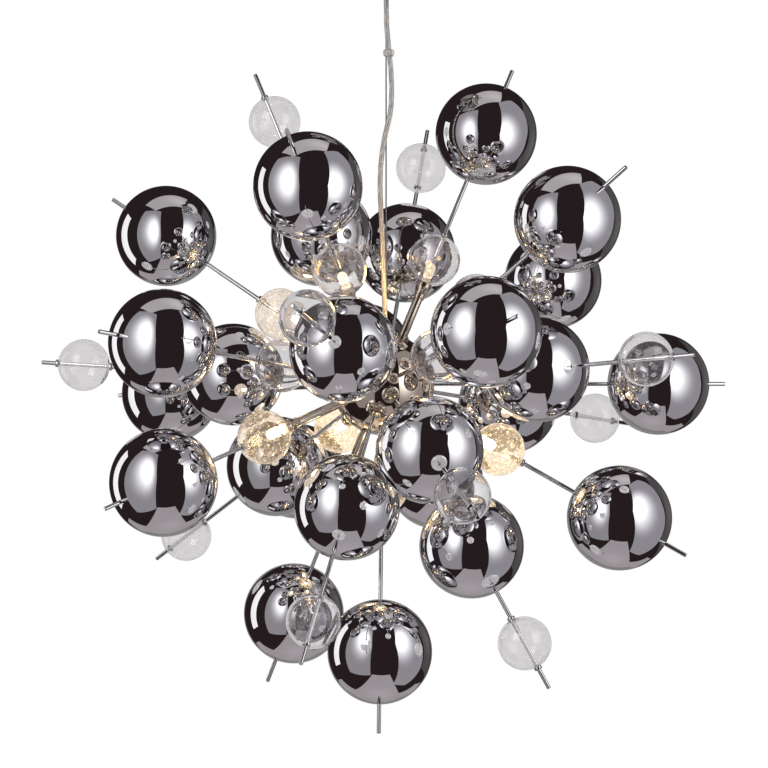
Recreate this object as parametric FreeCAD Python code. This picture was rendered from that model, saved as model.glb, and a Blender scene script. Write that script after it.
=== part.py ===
import FreeCAD, Part
import math
import os

# Glass pendant light: mirrored and clear glass balls on straight rods that radiate from a chromed hub.
# It hangs from a ceiling plate by a steel wire, with a clear power cable beside the wire.
# All lengths are in millimetres. X is to the right, Y away from the viewer and Z up.
# The origin is on the ceiling, in the middle of the ceiling plate, right above the wire.

Vector = FreeCAD.Vector
UP = Vector(0, 0, 1)
ALONG_X = Vector(1, 0, 0)
ALONG_Y = Vector(0, 1, 0)
FULL_TURN = 360.0
HALF_TURN = 180.0
HEX_SIDES = 6

# Fits and overruns
FIT = 0.05
SOFT_FIT = 0.15
SEAT_GAP = 0.1
SWING_GAP = 0.3
OVERRUN = 1.0

# Whole pendant
CEILING_TO_HUB = 440.0
WIRE_OFFSET = 3.0
TIP_REACH = 340.0

# Hub
HUB_RADIUS = 50.0
HUB_WALL = 8.0
SCREW_DEPTH = 6.0
CAP_RADIUS = 15.0
CAP_LIP = 2.4
CAP_BOSS_RADIUS = 12.0
CAP_BOSS_DEPTH = 12.0
CAP_STUD_RADIUS = 2.0
CAP_STUD_LENGTH = 26.0
CAP_STUD_OFFSET = 8.0
HUB_TERMINAL_RADIUS = 13.0
HUB_TERMINAL_HEIGHT = 11.0
HUB_TERMINAL_PORT_RADIUS = 1.6
HUB_TERMINAL_PORT_COUNT = 8

# Balls and rods
CHROME_RADIUS = 50.0
CHROME_WALL = 1.5
CLEAR_RADIUS = 25.5
CLEAR_WALL = 1.2
ROD_RADIUS = 2.0
ROD_TIP_ROUND = 0.6
COLLAR_RADIUS = 3.8
COLLAR_LENGTH = 3.0
COLLAR_ROUND = 0.5

# Lamp arms
STEM_RADIUS = 4.5
STEM_BORE_RADIUS = 3.0
CUP_LENGTH = 17.0
CUP_MOUTH_RADIUS = 7.5
CUP_NECK_RADIUS = 5.4
CUP_NECK_LENGTH = 4.0
CUP_WALL = 1.0
GLOBE_MOUTH_RADIUS = 6.0
HOLDER_BODY_RADIUS = 5.6
HOLDER_LENGTH = 11.0
HOLDER_SPIGOT_LENGTH = 1.4
BULB_RADIUS = 4.75
BULB_GLASS_LENGTH = 19.5
BULB_BASE_WIDTH = 8.0
BULB_BASE_DEPTH = 4.0
BULB_BASE_LENGTH = 6.0
BULB_PIN_RADIUS = 0.35
BULB_PIN_LENGTH = 6.0
BULB_PIN_SPACING = 4.0
BULB_PIN_FIT = 0.1
ROD_START_PAST_CENTRE = 3.0

# Ceiling plate
PLATE_RADIUS = 64.0
PLATE_TO_CANOPY = 4.8
PLATE_THICKNESS = 2.0
SLOT_SPACING = 84.0
SLOT_WIDTH = 5.5
SLOT_LENGTH = 14.0
EAR_WIDTH = 16.0
EAR_DROP = 17.0
EAR_THICKNESS = 2.0
EAR_SCREW_DROP = 10.0
EAR_TO_CANOPY = 0.3

# Eye, shackle and wire end
EYE_SHANK_RADIUS = 2.5
EYE_RING_RADIUS = 6.0
EYE_BAR_RADIUS = 1.6
EYE_NUT_FLATS = 8.0
EYE_NUT_HEIGHT = 4.0
SHACKLE_BEND_RADIUS = 5.0
SHACKLE_BAR_RADIUS = 1.5
SHACKLE_LEG = 10.0
SHACKLE_LUG_RADIUS = 3.6
SHACKLE_LUG_WIDTH = 3.2
PIN_RADIUS = 1.5
PIN_HEAD_RADIUS = 2.8
PIN_HEAD_LENGTH = 1.6
PIN_TAIL = 1.6
WIRE_EYE_RADIUS = 4.2
WIRE_EYE_WIDTH = 5.6
WIRE_EYE_SHANK_RADIUS = 1.8
WIRE_EYE_SHANK_LENGTH = 15.0
WIRE_EYE_GRIP = 11.0
WIRE_RADIUS = 0.75
WIRE_STOP_RADIUS = 2.4
WIRE_STOP_LENGTH = 7.0

# Canopy
CANOPY_WALL = 1.2
CANOPY_RADIUS = PLATE_RADIUS + PLATE_TO_CANOPY + CANOPY_WALL
CANOPY_DEPTH = 52.0
CANOPY_EDGE_ROUND = 6.0
BUSH_BORE_RADIUS = 13.0
BUSH_WALL = 1.5
BUSH_LIP = 2.0
BUSH_LIP_THICKNESS = 1.8
BUSH_HEIGHT = 5.0
CANOPY_SCREW_RADIUS = 2.0
CANOPY_SCREW_INNER = 7.0
CANOPY_SCREW_HEAD_RADIUS = 4.0
CANOPY_SCREW_HEAD_LENGTH = 4.0
EAR_SLOT_GAP = 0.3

# Transformer and terminal block
TRANSFORMER_LENGTH = 86.0
TRANSFORMER_DEPTH = 32.0
TRANSFORMER_HEIGHT = 24.0
TRANSFORMER_FROM_WIRE = 13.0
TRANSFORMER_ROUND = 2.0
TRANSFORMER_SCREW_SPACING = 74.0
TRANSFORMER_SCREW_RADIUS = 1.5
TRANSFORMER_SCREW_HEAD_RADIUS = 2.8
TRANSFORMER_SCREW_HEAD = 1.8
TERMINAL_LENGTH = 18.0
TERMINAL_DEPTH = 26.0
TERMINAL_HEIGHT = 14.0
TERMINAL_FROM_WIRE = 12.0
TERMINAL_FORWARD = 4.0
TERMINAL_PORT_RADIUS = 1.8
TERMINAL_PORT_SPACING = 8.0
TERMINAL_PORT_COUNT = 3

# Power cable and its clip
CABLE_RADIUS = 2.5
CABLE_MIN_RADIUS = 5 * 2 * CABLE_RADIUS
ARC_SHARE = 0.45
CLIP_WIDTH = 11.0
CLIP_DEPTH = 9.0
CLIP_HEIGHT = 6.4
CLIP_ROUND = 1.2
CLIP_LEFT_OF_WIRE = 2.9
CLIP_BEHIND_WIRE = 1.9
CLIP_ABOVE_HUB = 322.0
CABLE_ENTRY_X = -0.9
CABLE_ENTRY_Y = -5.6

# The cable's route from the canopy down to the hub: X, Y and the height above the hub's centre.
CABLE_ROUTE = [
    (-15.4, -5.4, 420.0),
    (-13.2, -4.9, 414.5),
    (-7.6, -4.6, 404.0),
    (-1.9, -4.8, 390.0),
    (0.3, -5.1, 373.0),
    (0.4, -4.8, 347.0),
    (2.9, -3.5, 324.0),
    (5.6, -3.1, 296.0),
    (5.2, -3.9, 266.0),
    (-1.2, -4.6, 242.0),
    (-5.4, -4.4, 215.0),
    (-6.0, -4.0, 184.0),
    (-3.8, -4.1, 150.0),
    (-2.7, -4.6, 112.0),
    (CABLE_ENTRY_X, CABLE_ENTRY_Y, 68.0),
    (CABLE_ENTRY_X, CABLE_ENTRY_Y, 34.0),
]

# Lamp arms: azimuth and elevation in degrees, then how far out the chrome ball and the globe sit,
# as shares of the reach of the rods' tips.
# Azimuth 0 points at the viewer and 90 to the right.
LAMP_ARM_SHARES = [
    (112.0, 66.0, 0.794, 0.391),
    (-20.0, 42.0, 0.791, 0.468),
    (-108.0, 33.0, 0.797, 0.371),
    (-52.0, -19.5, 0.800, 0.444),
    (73.5, -28.5, 0.785, 0.388),
    (-159.0, -20.0, 0.788, 0.385),
    (-133.0, -62.0, 0.765, 0.388),
    (-3.0, -77.0, 0.771, 0.303),
]

# Plain arms with the chrome ball outside: azimuth, elevation, chrome ball and clear ball shares.
OUTER_CHROME_ARM_SHARES = [
    (54.5, 36.0, 0.768, 0.397),
    (-49.5, 8.0, 0.788, 0.374),
    (-126.0, -2.0, 0.793, 0.556),
    (97.0, 0.0, 0.803, 0.397),
    (20.5, 10.0, 0.785, 0.432),
    (134.5, 23.5, 0.788, 0.397),
    (167.0, -22.5, 0.788, 0.397),
]

# Plain arms with the chrome ball next to the hub, in the same order of values.
INNER_CHROME_ARM_SHARES = [
    (-117.5, 65.0, 0.474, 0.844),
    (167.5, 51.0, 0.500, 0.844),
    (-97.0, 3.6, 0.436, 0.875),
    (-126.0, -32.0, 0.456, 0.862),
    (-19.0, -48.0, 0.459, 0.856),
    (59.0, -57.5, 0.541, 0.856),
    (57.0, 4.5, 0.509, 0.853),
    (130.5, -7.0, 0.491, 0.856),
    (15.0, -20.0, 0.521, 0.853),
    (-13.5, 11.5, 0.474, 0.856),
    (-172.0, 12.0, 0.471, 0.853),
]

HUB_CENTRE = Vector(-WIRE_OFFSET, 0, -CEILING_TO_HUB)


def write(name, shape):
    """Write one named piece, or group of like pieces, and report its size."""
    solids = shape.Solids
    valid = all(solid.isValid() for solid in solids)
    shape.exportStep("parts/" + name + ".step")
    print(name, "solids", len(solids), "valid", valid, "volume", round(sum(s.Volume for s in solids), 1))


def cylinder(radius, bottom, top):
    """A round bar about the Z axis between two heights."""
    return Part.makeCylinder(radius, top - bottom, Vector(0, 0, bottom))


def bar(radius, start, end):
    """A round bar between two points."""
    return Part.makeCylinder(radius, (end - start).Length, start, end - start)


def block(length, depth, height, centre):
    """A rectangular block about its centre."""
    corner = centre - Vector(length, depth, height) * 0.5
    return Part.makeBox(length, depth, height, corner)


def spun(points):
    """A solid turned about the Z axis from an outline of (radius, height) points."""
    outline = Part.makePolygon([Vector(r, 0, z) for r, z in points + points[:1]])
    return Part.Face(outline).revolve(Vector(0, 0, 0), UP, FULL_TURN)


def ring(bend_radius, bar_radius, centre, normal, across, turn):
    """A bent round bar: it starts beside the centre, on the side that across points to."""
    start = centre + across * bend_radius
    tangent = normal.cross(across)
    section = Part.Face(Part.Wire(Part.Circle(start, tangent, bar_radius).toShape()))
    return section.revolve(centre, normal, turn)


def on_arm(shape, arm):
    """Turn a piece built along Z from the hub's centre into the direction of an arm."""
    azimuth = math.radians(arm[0])
    elevation = math.radians(arm[1])
    level = math.cos(elevation)
    direction = Vector(level * math.sin(azimuth), -level * math.cos(azimuth), math.sin(elevation))
    to_arm = FreeCAD.Placement(HUB_CENTRE, FreeCAD.Rotation(UP, direction))
    placed = shape.copy()
    placed.Placement = to_arm.multiply(shape.Placement)
    return placed


def at_distance(shape, distance):
    """Move a piece out along the Z axis of its arm."""
    moved = shape.copy()
    moved.translate(Vector(0, 0, distance))
    return moved


def hollow_ball(radius, wall, lower_hole, upper_hole):
    """A thin glass ball with a hole at each pole."""
    shell = Part.makeSphere(radius).cut(Part.makeSphere(radius - wall))
    lower = cylinder(lower_hole, -radius - OVERRUN, 0)
    upper = cylinder(upper_hole, 0, radius + OVERRUN)
    return shell.cut(lower).cut(upper)


def chrome_ball():
    """The mirrored glass ball, bored for its rod."""
    bore = ROD_RADIUS + FIT
    return hollow_ball(CHROME_RADIUS, CHROME_WALL, bore, bore)


def clear_ball():
    """The clear glass ball, bored for its rod."""
    bore = ROD_RADIUS + FIT
    return hollow_ball(CLEAR_RADIUS, CLEAR_WALL, bore, bore)


def lamp_globe():
    """The clear globe round a bulb: a wide mouth towards the cup and a rod hole opposite."""
    return hollow_ball(CLEAR_RADIUS, CLEAR_WALL, GLOBE_MOUTH_RADIUS, ROD_RADIUS + FIT)


def rod(start):
    """A straight rod with a softly rounded tip."""
    straight = cylinder(ROD_RADIUS, start, TIP_REACH)
    tip_edges = [e for e in straight.Edges if e.BoundBox.ZMin > TIP_REACH - ROD_TIP_ROUND]
    return straight.makeFillet(ROD_TIP_ROUND, tip_edges)


def collar():
    """The small ring that holds a clear ball on its rod, standing on Z zero."""
    outer = cylinder(COLLAR_RADIUS, 0, COLLAR_LENGTH)
    round_edges = [e for e in outer.Edges if e.BoundBox.ZLength < ROD_TIP_ROUND]
    rounded = outer.makeFillet(COLLAR_ROUND, round_edges)
    return rounded.cut(cylinder(ROD_RADIUS + FIT, -OVERRUN, COLLAR_LENGTH + OVERRUN))


def stem_end(globe_distance):
    """Distance from the hub's centre at which a lamp stem stops, inside its cup."""
    return cup_mouth(globe_distance) + HOLDER_SPIGOT_LENGTH - HOLDER_LENGTH


def cup_mouth(globe_distance):
    """Distance of the cup's mouth, which stands against the globe."""
    inner_edge = CUP_MOUTH_RADIUS - CUP_WALL
    seat = math.sqrt(CLEAR_RADIUS ** 2 - inner_edge ** 2)
    return globe_distance - seat - SEAT_GAP


def lamp_stem(globe_distance):
    """The tube from the hub to the lamp's cup."""
    start = HUB_RADIUS - SCREW_DEPTH
    tube = cylinder(STEM_RADIUS, start, stem_end(globe_distance))
    return tube.cut(cylinder(STEM_BORE_RADIUS, start - OVERRUN, stem_end(globe_distance) + OVERRUN))


def lamp_cup(globe_distance):
    """The flared cup on the stem's end, open towards the globe."""
    mouth = cup_mouth(globe_distance)
    base = mouth - CUP_LENGTH
    floor = stem_end(globe_distance)
    stem_hole = STEM_RADIUS + FIT
    holder_hole = HOLDER_BODY_RADIUS + FIT
    inner_mouth = CUP_MOUTH_RADIUS - CUP_WALL
    outline = [
        (stem_hole, base),
        (CUP_NECK_RADIUS, base),
        (CUP_NECK_RADIUS, base + CUP_NECK_LENGTH),
        (CUP_MOUTH_RADIUS, mouth - CUP_NECK_LENGTH),
        (CUP_MOUTH_RADIUS, mouth),
        (inner_mouth, mouth),
        (inner_mouth, mouth - CUP_NECK_LENGTH),
        (holder_hole, floor),
        (stem_hole, floor),
    ]
    return spun(outline)


def lamp_holder(globe_distance):
    """The ceramic pin holder, which also centres the globe's mouth."""
    floor = stem_end(globe_distance)
    mouth = cup_mouth(globe_distance)
    spigot_top = mouth + HOLDER_SPIGOT_LENGTH
    body = cylinder(HOLDER_BODY_RADIUS, floor, spigot_top)
    flange_radius = GLOBE_MOUTH_RADIUS - SOFT_FIT
    flange = cylinder(flange_radius, mouth - CUP_WALL, spigot_top)
    holder = body.fuse(flange).removeSplitter()
    for side in (-1, 1):
        centre = Vector(side * BULB_PIN_SPACING / 2, 0, floor + HOLDER_LENGTH / 4)
        hole = Part.makeCylinder(BULB_PIN_RADIUS + BULB_PIN_FIT, HOLDER_LENGTH, centre)
        holder = holder.cut(hole)
    return holder


def bulb(globe_distance):
    """The capsule bulb: flat pinched base, round glass with a domed tip, and two pins."""
    base = cup_mouth(globe_distance) + HOLDER_SPIGOT_LENGTH + SEAT_GAP
    tip = base + BULB_GLASS_LENGTH
    pinch = block(BULB_BASE_WIDTH, BULB_BASE_DEPTH, BULB_BASE_LENGTH, Vector(0, 0, base + BULB_BASE_LENGTH / 2))
    glass_start = base + BULB_BASE_LENGTH - BULB_BASE_DEPTH / 2
    glass = cylinder(BULB_RADIUS, glass_start, tip - BULB_RADIUS)
    dome = Part.makeSphere(BULB_RADIUS, Vector(0, 0, tip - BULB_RADIUS))
    capsule = pinch.fuse([glass, dome])
    for side in (-1, 1):
        foot = Vector(side * BULB_PIN_SPACING / 2, 0, base - BULB_PIN_LENGTH)
        capsule = capsule.fuse(Part.makeCylinder(BULB_PIN_RADIUS, BULB_PIN_LENGTH + BULB_BASE_DEPTH / 2, foot))
    return capsule.removeSplitter()


def lamp_rod(globe_distance):
    """The outer rod of a lamp arm with the two collars that clamp the globe's far pole."""
    pole = globe_distance + CLEAR_RADIUS
    seat = math.sqrt((CLEAR_RADIUS - CLEAR_WALL) ** 2 - COLLAR_RADIUS ** 2)
    inside = globe_distance + seat - SEAT_GAP - COLLAR_LENGTH
    outer_rod = rod(globe_distance + ROD_START_PAST_CENTRE)
    return Part.makeCompound([outer_rod, at_distance(collar(), pole), at_distance(collar(), inside)])


def lamps():
    """The eight lamp arms: the fixed stem, cup and holder, and the head and bulb that come off."""
    stems, cups, holders = [], [], []
    for number, arm in enumerate(LAMP_ARM_SHARES, start=1):
        chrome_at, globe_at = arm[2] * TIP_REACH, arm[3] * TIP_REACH
        name = "lamp_" + str(number)
        stems.append(on_arm(lamp_stem(globe_at), arm))
        cups.append(on_arm(lamp_cup(globe_at), arm))
        holders.append(on_arm(lamp_holder(globe_at), arm))
        write(name + "_bulb", on_arm(bulb(globe_at), arm))
        write(name + "_globe", on_arm(at_distance(lamp_globe(), globe_at), arm))
        write(name + "_rod", on_arm(lamp_rod(globe_at), arm))
        write(name + "_ball", on_arm(at_distance(chrome_ball(), chrome_at), arm))
    write("lamp_stems", Part.makeCompound(stems))
    write("lamp_cups", Part.makeCompound(cups))
    write("lamp_holders", Part.makeCompound(holders))


def plain_arms():
    """The arms without a bulb: one rod each through a chrome ball and a clear ball."""
    start = HUB_RADIUS - SCREW_DEPTH
    rods, clear_balls, collars = [], [], []
    for arm in OUTER_CHROME_ARM_SHARES + INNER_CHROME_ARM_SHARES:
        clear_at = arm[3] * TIP_REACH
        rods.append(on_arm(rod(start), arm))
        clear_balls.append(on_arm(at_distance(clear_ball(), clear_at), arm))
        for foot in (clear_at - CLEAR_RADIUS - COLLAR_LENGTH, clear_at + CLEAR_RADIUS):
            collars.append(on_arm(at_distance(collar(), foot), arm))
    write("plain_rods", Part.makeCompound(rods))
    write("clear_balls", Part.makeCompound(clear_balls))
    write("ball_collars", Part.makeCompound(collars))
    groups = (("outer_chrome_balls", OUTER_CHROME_ARM_SHARES), ("inner_chrome_balls", INNER_CHROME_ARM_SHARES))
    for name, arms in groups:
        balls = [on_arm(at_distance(chrome_ball(), arm[2] * TIP_REACH), arm) for arm in arms]
        write(name, Part.makeCompound(balls))


def cap_seat():
    """Height of the hub's flat top above its centre."""
    return math.sqrt(HUB_RADIUS ** 2 - CAP_RADIUS ** 2)


def hub():
    """The hub ball with its tapped holes, the cap in its top and the terminal that hangs inside."""
    shell = Part.makeSphere(HUB_RADIUS).cut(Part.makeSphere(HUB_RADIUS - HUB_WALL))
    shell = shell.cut(cylinder(HUB_RADIUS, cap_seat(), HUB_RADIUS + OVERRUN))
    shell = shell.cut(cylinder(CAP_BOSS_RADIUS + FIT, 0, HUB_RADIUS + OVERRUN))
    shell.translate(HUB_CENTRE)
    rod_bore = cylinder(ROD_RADIUS + FIT, 0, HUB_RADIUS + OVERRUN)
    stem_bore = cylinder(STEM_RADIUS + FIT, 0, HUB_RADIUS + OVERRUN)
    bores = [on_arm(rod_bore, arm) for arm in OUTER_CHROME_ARM_SHARES + INNER_CHROME_ARM_SHARES]
    bores += [on_arm(stem_bore, arm) for arm in LAMP_ARM_SHARES]
    for bore in bores:
        shell = shell.cut(bore)
    write("hub_ball", shell)

    boss_foot = cap_seat() - CAP_BOSS_DEPTH
    stud_foot = boss_foot - CAP_STUD_LENGTH
    lip = cylinder(CAP_RADIUS, cap_seat(), cap_seat() + CAP_LIP)
    boss = cylinder(CAP_BOSS_RADIUS, boss_foot, cap_seat())
    stud = Part.makeCylinder(CAP_STUD_RADIUS, CAP_STUD_LENGTH + OVERRUN, Vector(0, CAP_STUD_OFFSET, stud_foot))
    cap = lip.fuse([boss, stud]).removeSplitter()
    cap.translate(HUB_CENTRE)
    through = CAP_LIP + CAP_BOSS_DEPTH + 2 * OVERRUN
    floor = HUB_CENTRE.z + boss_foot - OVERRUN
    cap = cap.cut(Part.makeCylinder(WIRE_RADIUS + FIT, through, Vector(0, 0, floor)))
    cable_foot = Vector(CABLE_ENTRY_X, CABLE_ENTRY_Y, floor)
    cap = cap.cut(Part.makeCylinder(CABLE_RADIUS + FIT, through, cable_foot))
    write("hub_cap", cap)

    top = stud_foot + HUB_TERMINAL_HEIGHT
    terminal = cylinder(HUB_TERMINAL_RADIUS, stud_foot, top)
    stud_hole = CAP_STUD_RADIUS + FIT
    terminal = terminal.cut(
        Part.makeCylinder(stud_hole, HUB_TERMINAL_HEIGHT + 2 * OVERRUN, Vector(0, CAP_STUD_OFFSET, stud_foot - OVERRUN)))
    for number in range(HUB_TERMINAL_PORT_COUNT):
        turn = 2 * math.pi * (number + 0.5) / HUB_TERMINAL_PORT_COUNT
        outward = Vector(math.cos(turn), math.sin(turn), 0)
        middle = Vector(0, 0, stud_foot + HUB_TERMINAL_HEIGHT / 2)
        port = Part.makeCylinder(
            HUB_TERMINAL_PORT_RADIUS, HUB_TERMINAL_RADIUS, middle + outward * (HUB_TERMINAL_RADIUS * 0.7), outward)
        terminal = terminal.cut(port)
    terminal.translate(HUB_CENTRE)
    write("hub_terminal", terminal)
    return HUB_CENTRE.z + boss_foot


def route_points():
    """The cable's route in the part's frame."""
    return [Vector(x, y, HUB_CENTRE.z + height) for x, y, height in CABLE_ROUTE]


def rounded_path(points):
    """Straight runs joined by tangent arcs, each as large as its two runs allow."""
    edges = []
    radii = []
    last = points[0]
    for before, corner, after in zip(points, points[1:], points[2:]):
        back = before - corner
        ahead = after - corner
        cut = ARC_SHARE * min(back.Length, ahead.Length)
        back.normalize()
        ahead.normalize()
        turn = math.pi - back.getAngle(ahead)
        radius = cut / math.tan(turn / 2)
        radii.append(radius)
        arc_start = corner + back * cut
        arc_end = corner + ahead * cut
        bisector = back + ahead
        bisector.normalize()
        centre = corner + bisector * (radius / math.cos(turn / 2))
        middle = centre - bisector * radius
        edges.append(Part.LineSegment(last, arc_start).toShape())
        edges.append(Part.Arc(arc_start, middle, arc_end).toShape())
        last = arc_end
    edges.append(Part.LineSegment(last, points[-1]).toShape())
    return Part.Wire(edges), radii


def tube(points, radius):
    """A round tube along a rounded path."""
    path, radii = rounded_path(points)
    section = Part.Wire(Part.Circle(points[0], points[1] - points[0], radius).toShape())
    swept = path.makePipeShell([section], True, False)
    shares = swept.Volume / (math.pi * radius ** 2 * path.Length)
    print("tube length", round(path.Length, 1), "volume share", round(shares, 5))
    print("bend radii", [round(r) for r in radii], "smallest allowed", CABLE_MIN_RADIUS)
    return swept


def cable_and_wire(boss_foot):
    """The wire with its eye and stop, the power cable beside it and the clip that ties them."""
    pin_height = shackle_pin_height()
    wire_top = pin_height - WIRE_EYE_SHANK_LENGTH + WIRE_EYE_GRIP
    wire_foot = boss_foot - WIRE_STOP_LENGTH
    wire = cylinder(WIRE_RADIUS, wire_foot, wire_top)
    write("suspension_wire", wire)

    stop = cylinder(WIRE_STOP_RADIUS, boss_foot - WIRE_STOP_LENGTH, boss_foot)
    write("wire_stop", stop.cut(cylinder(WIRE_RADIUS + FIT, wire_foot - OVERRUN, boss_foot + OVERRUN)))

    head = bar(WIRE_EYE_RADIUS, Vector(0, -WIRE_EYE_WIDTH / 2, pin_height), Vector(0, WIRE_EYE_WIDTH / 2, pin_height))
    shank = cylinder(WIRE_EYE_SHANK_RADIUS, pin_height - WIRE_EYE_SHANK_LENGTH, pin_height)
    hole_radius = PIN_RADIUS + SWING_GAP
    hole = bar(hole_radius, Vector(0, -WIRE_EYE_WIDTH, pin_height), Vector(0, WIRE_EYE_WIDTH, pin_height))
    grip = cylinder(WIRE_RADIUS + FIT, pin_height - WIRE_EYE_SHANK_LENGTH - OVERRUN, wire_top)
    write("wire_eye", head.fuse(shank).removeSplitter().cut(hole).cut(grip))

    points = route_points()
    write("power_cable", tube(points, CABLE_RADIUS))

    clip_height = HUB_CENTRE.z + CLIP_ABOVE_HUB
    clip_x = CLIP_WIDTH / 2 - CLIP_LEFT_OF_WIRE
    clip_y = CLIP_BEHIND_WIRE - CLIP_DEPTH / 2
    clip = block(CLIP_WIDTH, CLIP_DEPTH, CLIP_HEIGHT, Vector(clip_x, clip_y, clip_height))
    upright = [e for e in clip.Edges if e.BoundBox.ZLength > CLIP_HEIGHT / 2]
    clip = clip.makeFillet(CLIP_ROUND, upright)
    clip = clip.cut(cylinder(WIRE_RADIUS + FIT, clip_height - CLIP_HEIGHT, clip_height + CLIP_HEIGHT))
    clip = clip.cut(tube(points, CABLE_RADIUS + FIT))
    write("cable_clip", clip)


def eye_ring_height():
    """Height of the ceiling eye's centre."""
    return -PLATE_THICKNESS - EYE_NUT_HEIGHT - EYE_RING_RADIUS - EYE_BAR_RADIUS


def shackle_pivot_height():
    """Height of the ceiling eye's lowest bar, about which the shackle swings."""
    return eye_ring_height() - EYE_RING_RADIUS


def shackle_bend_height():
    """Height of the centre of the shackle's bend."""
    top = shackle_pivot_height() + EYE_BAR_RADIUS + SHACKLE_BAR_RADIUS + SWING_GAP
    return top - SHACKLE_BEND_RADIUS


def shackle_pin_height():
    """Height of the shackle's pin, about which the wire's eye swings."""
    return shackle_bend_height() - SHACKLE_LEG


def ear_face():
    """Distance from the wire to the outer face of the plate's ears, whose corners clear the canopy."""
    corner_reach = CANOPY_RADIUS - CANOPY_WALL - EAR_TO_CANOPY
    return math.sqrt(corner_reach ** 2 - (EAR_WIDTH / 2) ** 2)


def ceiling_side():
    """The plate on the ceiling with its eye, transformer and terminal block."""
    plate = cylinder(PLATE_RADIUS, -PLATE_THICKNESS, 0)
    slot_half = (SLOT_LENGTH - SLOT_WIDTH) / 2
    deep = PLATE_THICKNESS + 2 * OVERRUN
    for side in (-1, 1):
        strip_length = ear_face() - PLATE_RADIUS + EAR_WIDTH
        strip_middle = side * (ear_face() - strip_length / 2)
        strip = block(strip_length, EAR_WIDTH, PLATE_THICKNESS, Vector(strip_middle, 0, -PLATE_THICKNESS / 2))
        ear_x = side * (ear_face() - EAR_THICKNESS / 2)
        ear = block(EAR_THICKNESS, EAR_WIDTH, EAR_DROP, Vector(ear_x, 0, -EAR_DROP / 2))
        plate = plate.fuse([strip, ear])
        slot_radius = CANOPY_SCREW_RADIUS + EAR_SLOT_GAP
        hole = bar(slot_radius, Vector(ear_x - EAR_WIDTH / 2, 0, -EAR_SCREW_DROP),
                   Vector(ear_x + EAR_WIDTH / 2, 0, -EAR_SCREW_DROP))
        open_height = EAR_DROP - EAR_SCREW_DROP + OVERRUN
        open_middle = -EAR_SCREW_DROP - open_height / 2
        opening = block(EAR_WIDTH, 2 * slot_radius, open_height, Vector(ear_x, 0, open_middle))
        plate = plate.cut(hole).cut(opening)
        centre = side * SLOT_SPACING / 2
        middle = block(2 * slot_half, SLOT_WIDTH, deep, Vector(centre, 0, -PLATE_THICKNESS / 2))
        plate = plate.cut(middle)
        for end in (-slot_half, slot_half):
            plate = plate.cut(
                Part.makeCylinder(SLOT_WIDTH / 2, deep, Vector(centre + end, 0, -PLATE_THICKNESS - OVERRUN)))
    plate = plate.cut(cylinder(EYE_SHANK_RADIUS + FIT, -PLATE_THICKNESS - OVERRUN, OVERRUN))
    transformer_y = TRANSFORMER_FROM_WIRE + TRANSFORMER_DEPTH / 2
    for side in (-1, 1):
        foot = Vector(side * TRANSFORMER_SCREW_SPACING / 2, transformer_y, -PLATE_THICKNESS - OVERRUN)
        plate = plate.cut(Part.makeCylinder(TRANSFORMER_SCREW_RADIUS + FIT, deep, foot))
    write("ceiling_plate", plate.removeSplitter())

    centre = Vector(0, 0, eye_ring_height())
    loop = ring(EYE_RING_RADIUS, EYE_BAR_RADIUS, centre, ALONG_Y, ALONG_X, FULL_TURN)
    shank = cylinder(EYE_SHANK_RADIUS, eye_ring_height() + EYE_RING_RADIUS, 0)
    write("ceiling_eye", loop.fuse(shank).removeSplitter())

    corners = []
    reach = EYE_NUT_FLATS / math.sqrt(3)
    for number in range(HEX_SIDES + 1):
        turn = 2 * math.pi * number / HEX_SIDES
        corners.append(Vector(reach * math.cos(turn), reach * math.sin(turn), -PLATE_THICKNESS - EYE_NUT_HEIGHT))
    nut = Part.Face(Part.makePolygon(corners)).extrude(Vector(0, 0, EYE_NUT_HEIGHT))
    nut_bore = cylinder(EYE_SHANK_RADIUS + FIT, -PLATE_THICKNESS - EYE_NUT_HEIGHT - OVERRUN, OVERRUN)
    write("eye_nut", nut.cut(nut_bore))

    transformer_z = -PLATE_THICKNESS - TRANSFORMER_HEIGHT / 2
    box = block(TRANSFORMER_LENGTH, TRANSFORMER_DEPTH, TRANSFORMER_HEIGHT, Vector(0, transformer_y, transformer_z))
    box = box.makeFillet(TRANSFORMER_ROUND, [e for e in box.Edges if e.BoundBox.ZLength > TRANSFORMER_ROUND])
    screws = []
    for side in (-1, 1):
        x = side * TRANSFORMER_SCREW_SPACING / 2
        through = TRANSFORMER_HEIGHT + PLATE_THICKNESS
        foot = Vector(x, transformer_y, -through)
        hole = Part.makeCylinder(TRANSFORMER_SCREW_RADIUS + FIT, through, foot - UP * OVERRUN)
        box = box.cut(hole)
        shank = Part.makeCylinder(TRANSFORMER_SCREW_RADIUS, through, foot)
        head = Part.makeCylinder(TRANSFORMER_SCREW_HEAD_RADIUS, TRANSFORMER_SCREW_HEAD,
                                 foot - UP * TRANSFORMER_SCREW_HEAD)
        screws.append(shank.fuse(head).removeSplitter())
    write("transformer", box)
    write("transformer_screws", Part.makeCompound(screws))

    middle = Vector(
        -TERMINAL_FROM_WIRE - TERMINAL_LENGTH / 2, -TERMINAL_FORWARD, -PLATE_THICKNESS - TERMINAL_HEIGHT / 2)
    terminal = block(TERMINAL_LENGTH, TERMINAL_DEPTH, TERMINAL_HEIGHT, middle)
    across = ALONG_X * (TERMINAL_LENGTH / 2 + OVERRUN)
    for number in range(TERMINAL_PORT_COUNT):
        offset = (number - (TERMINAL_PORT_COUNT - 1) / 2) * TERMINAL_PORT_SPACING
        port = middle + ALONG_Y * offset
        terminal = terminal.cut(bar(TERMINAL_PORT_RADIUS, port - across, port + across))
    write("terminal_block", terminal)


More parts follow.
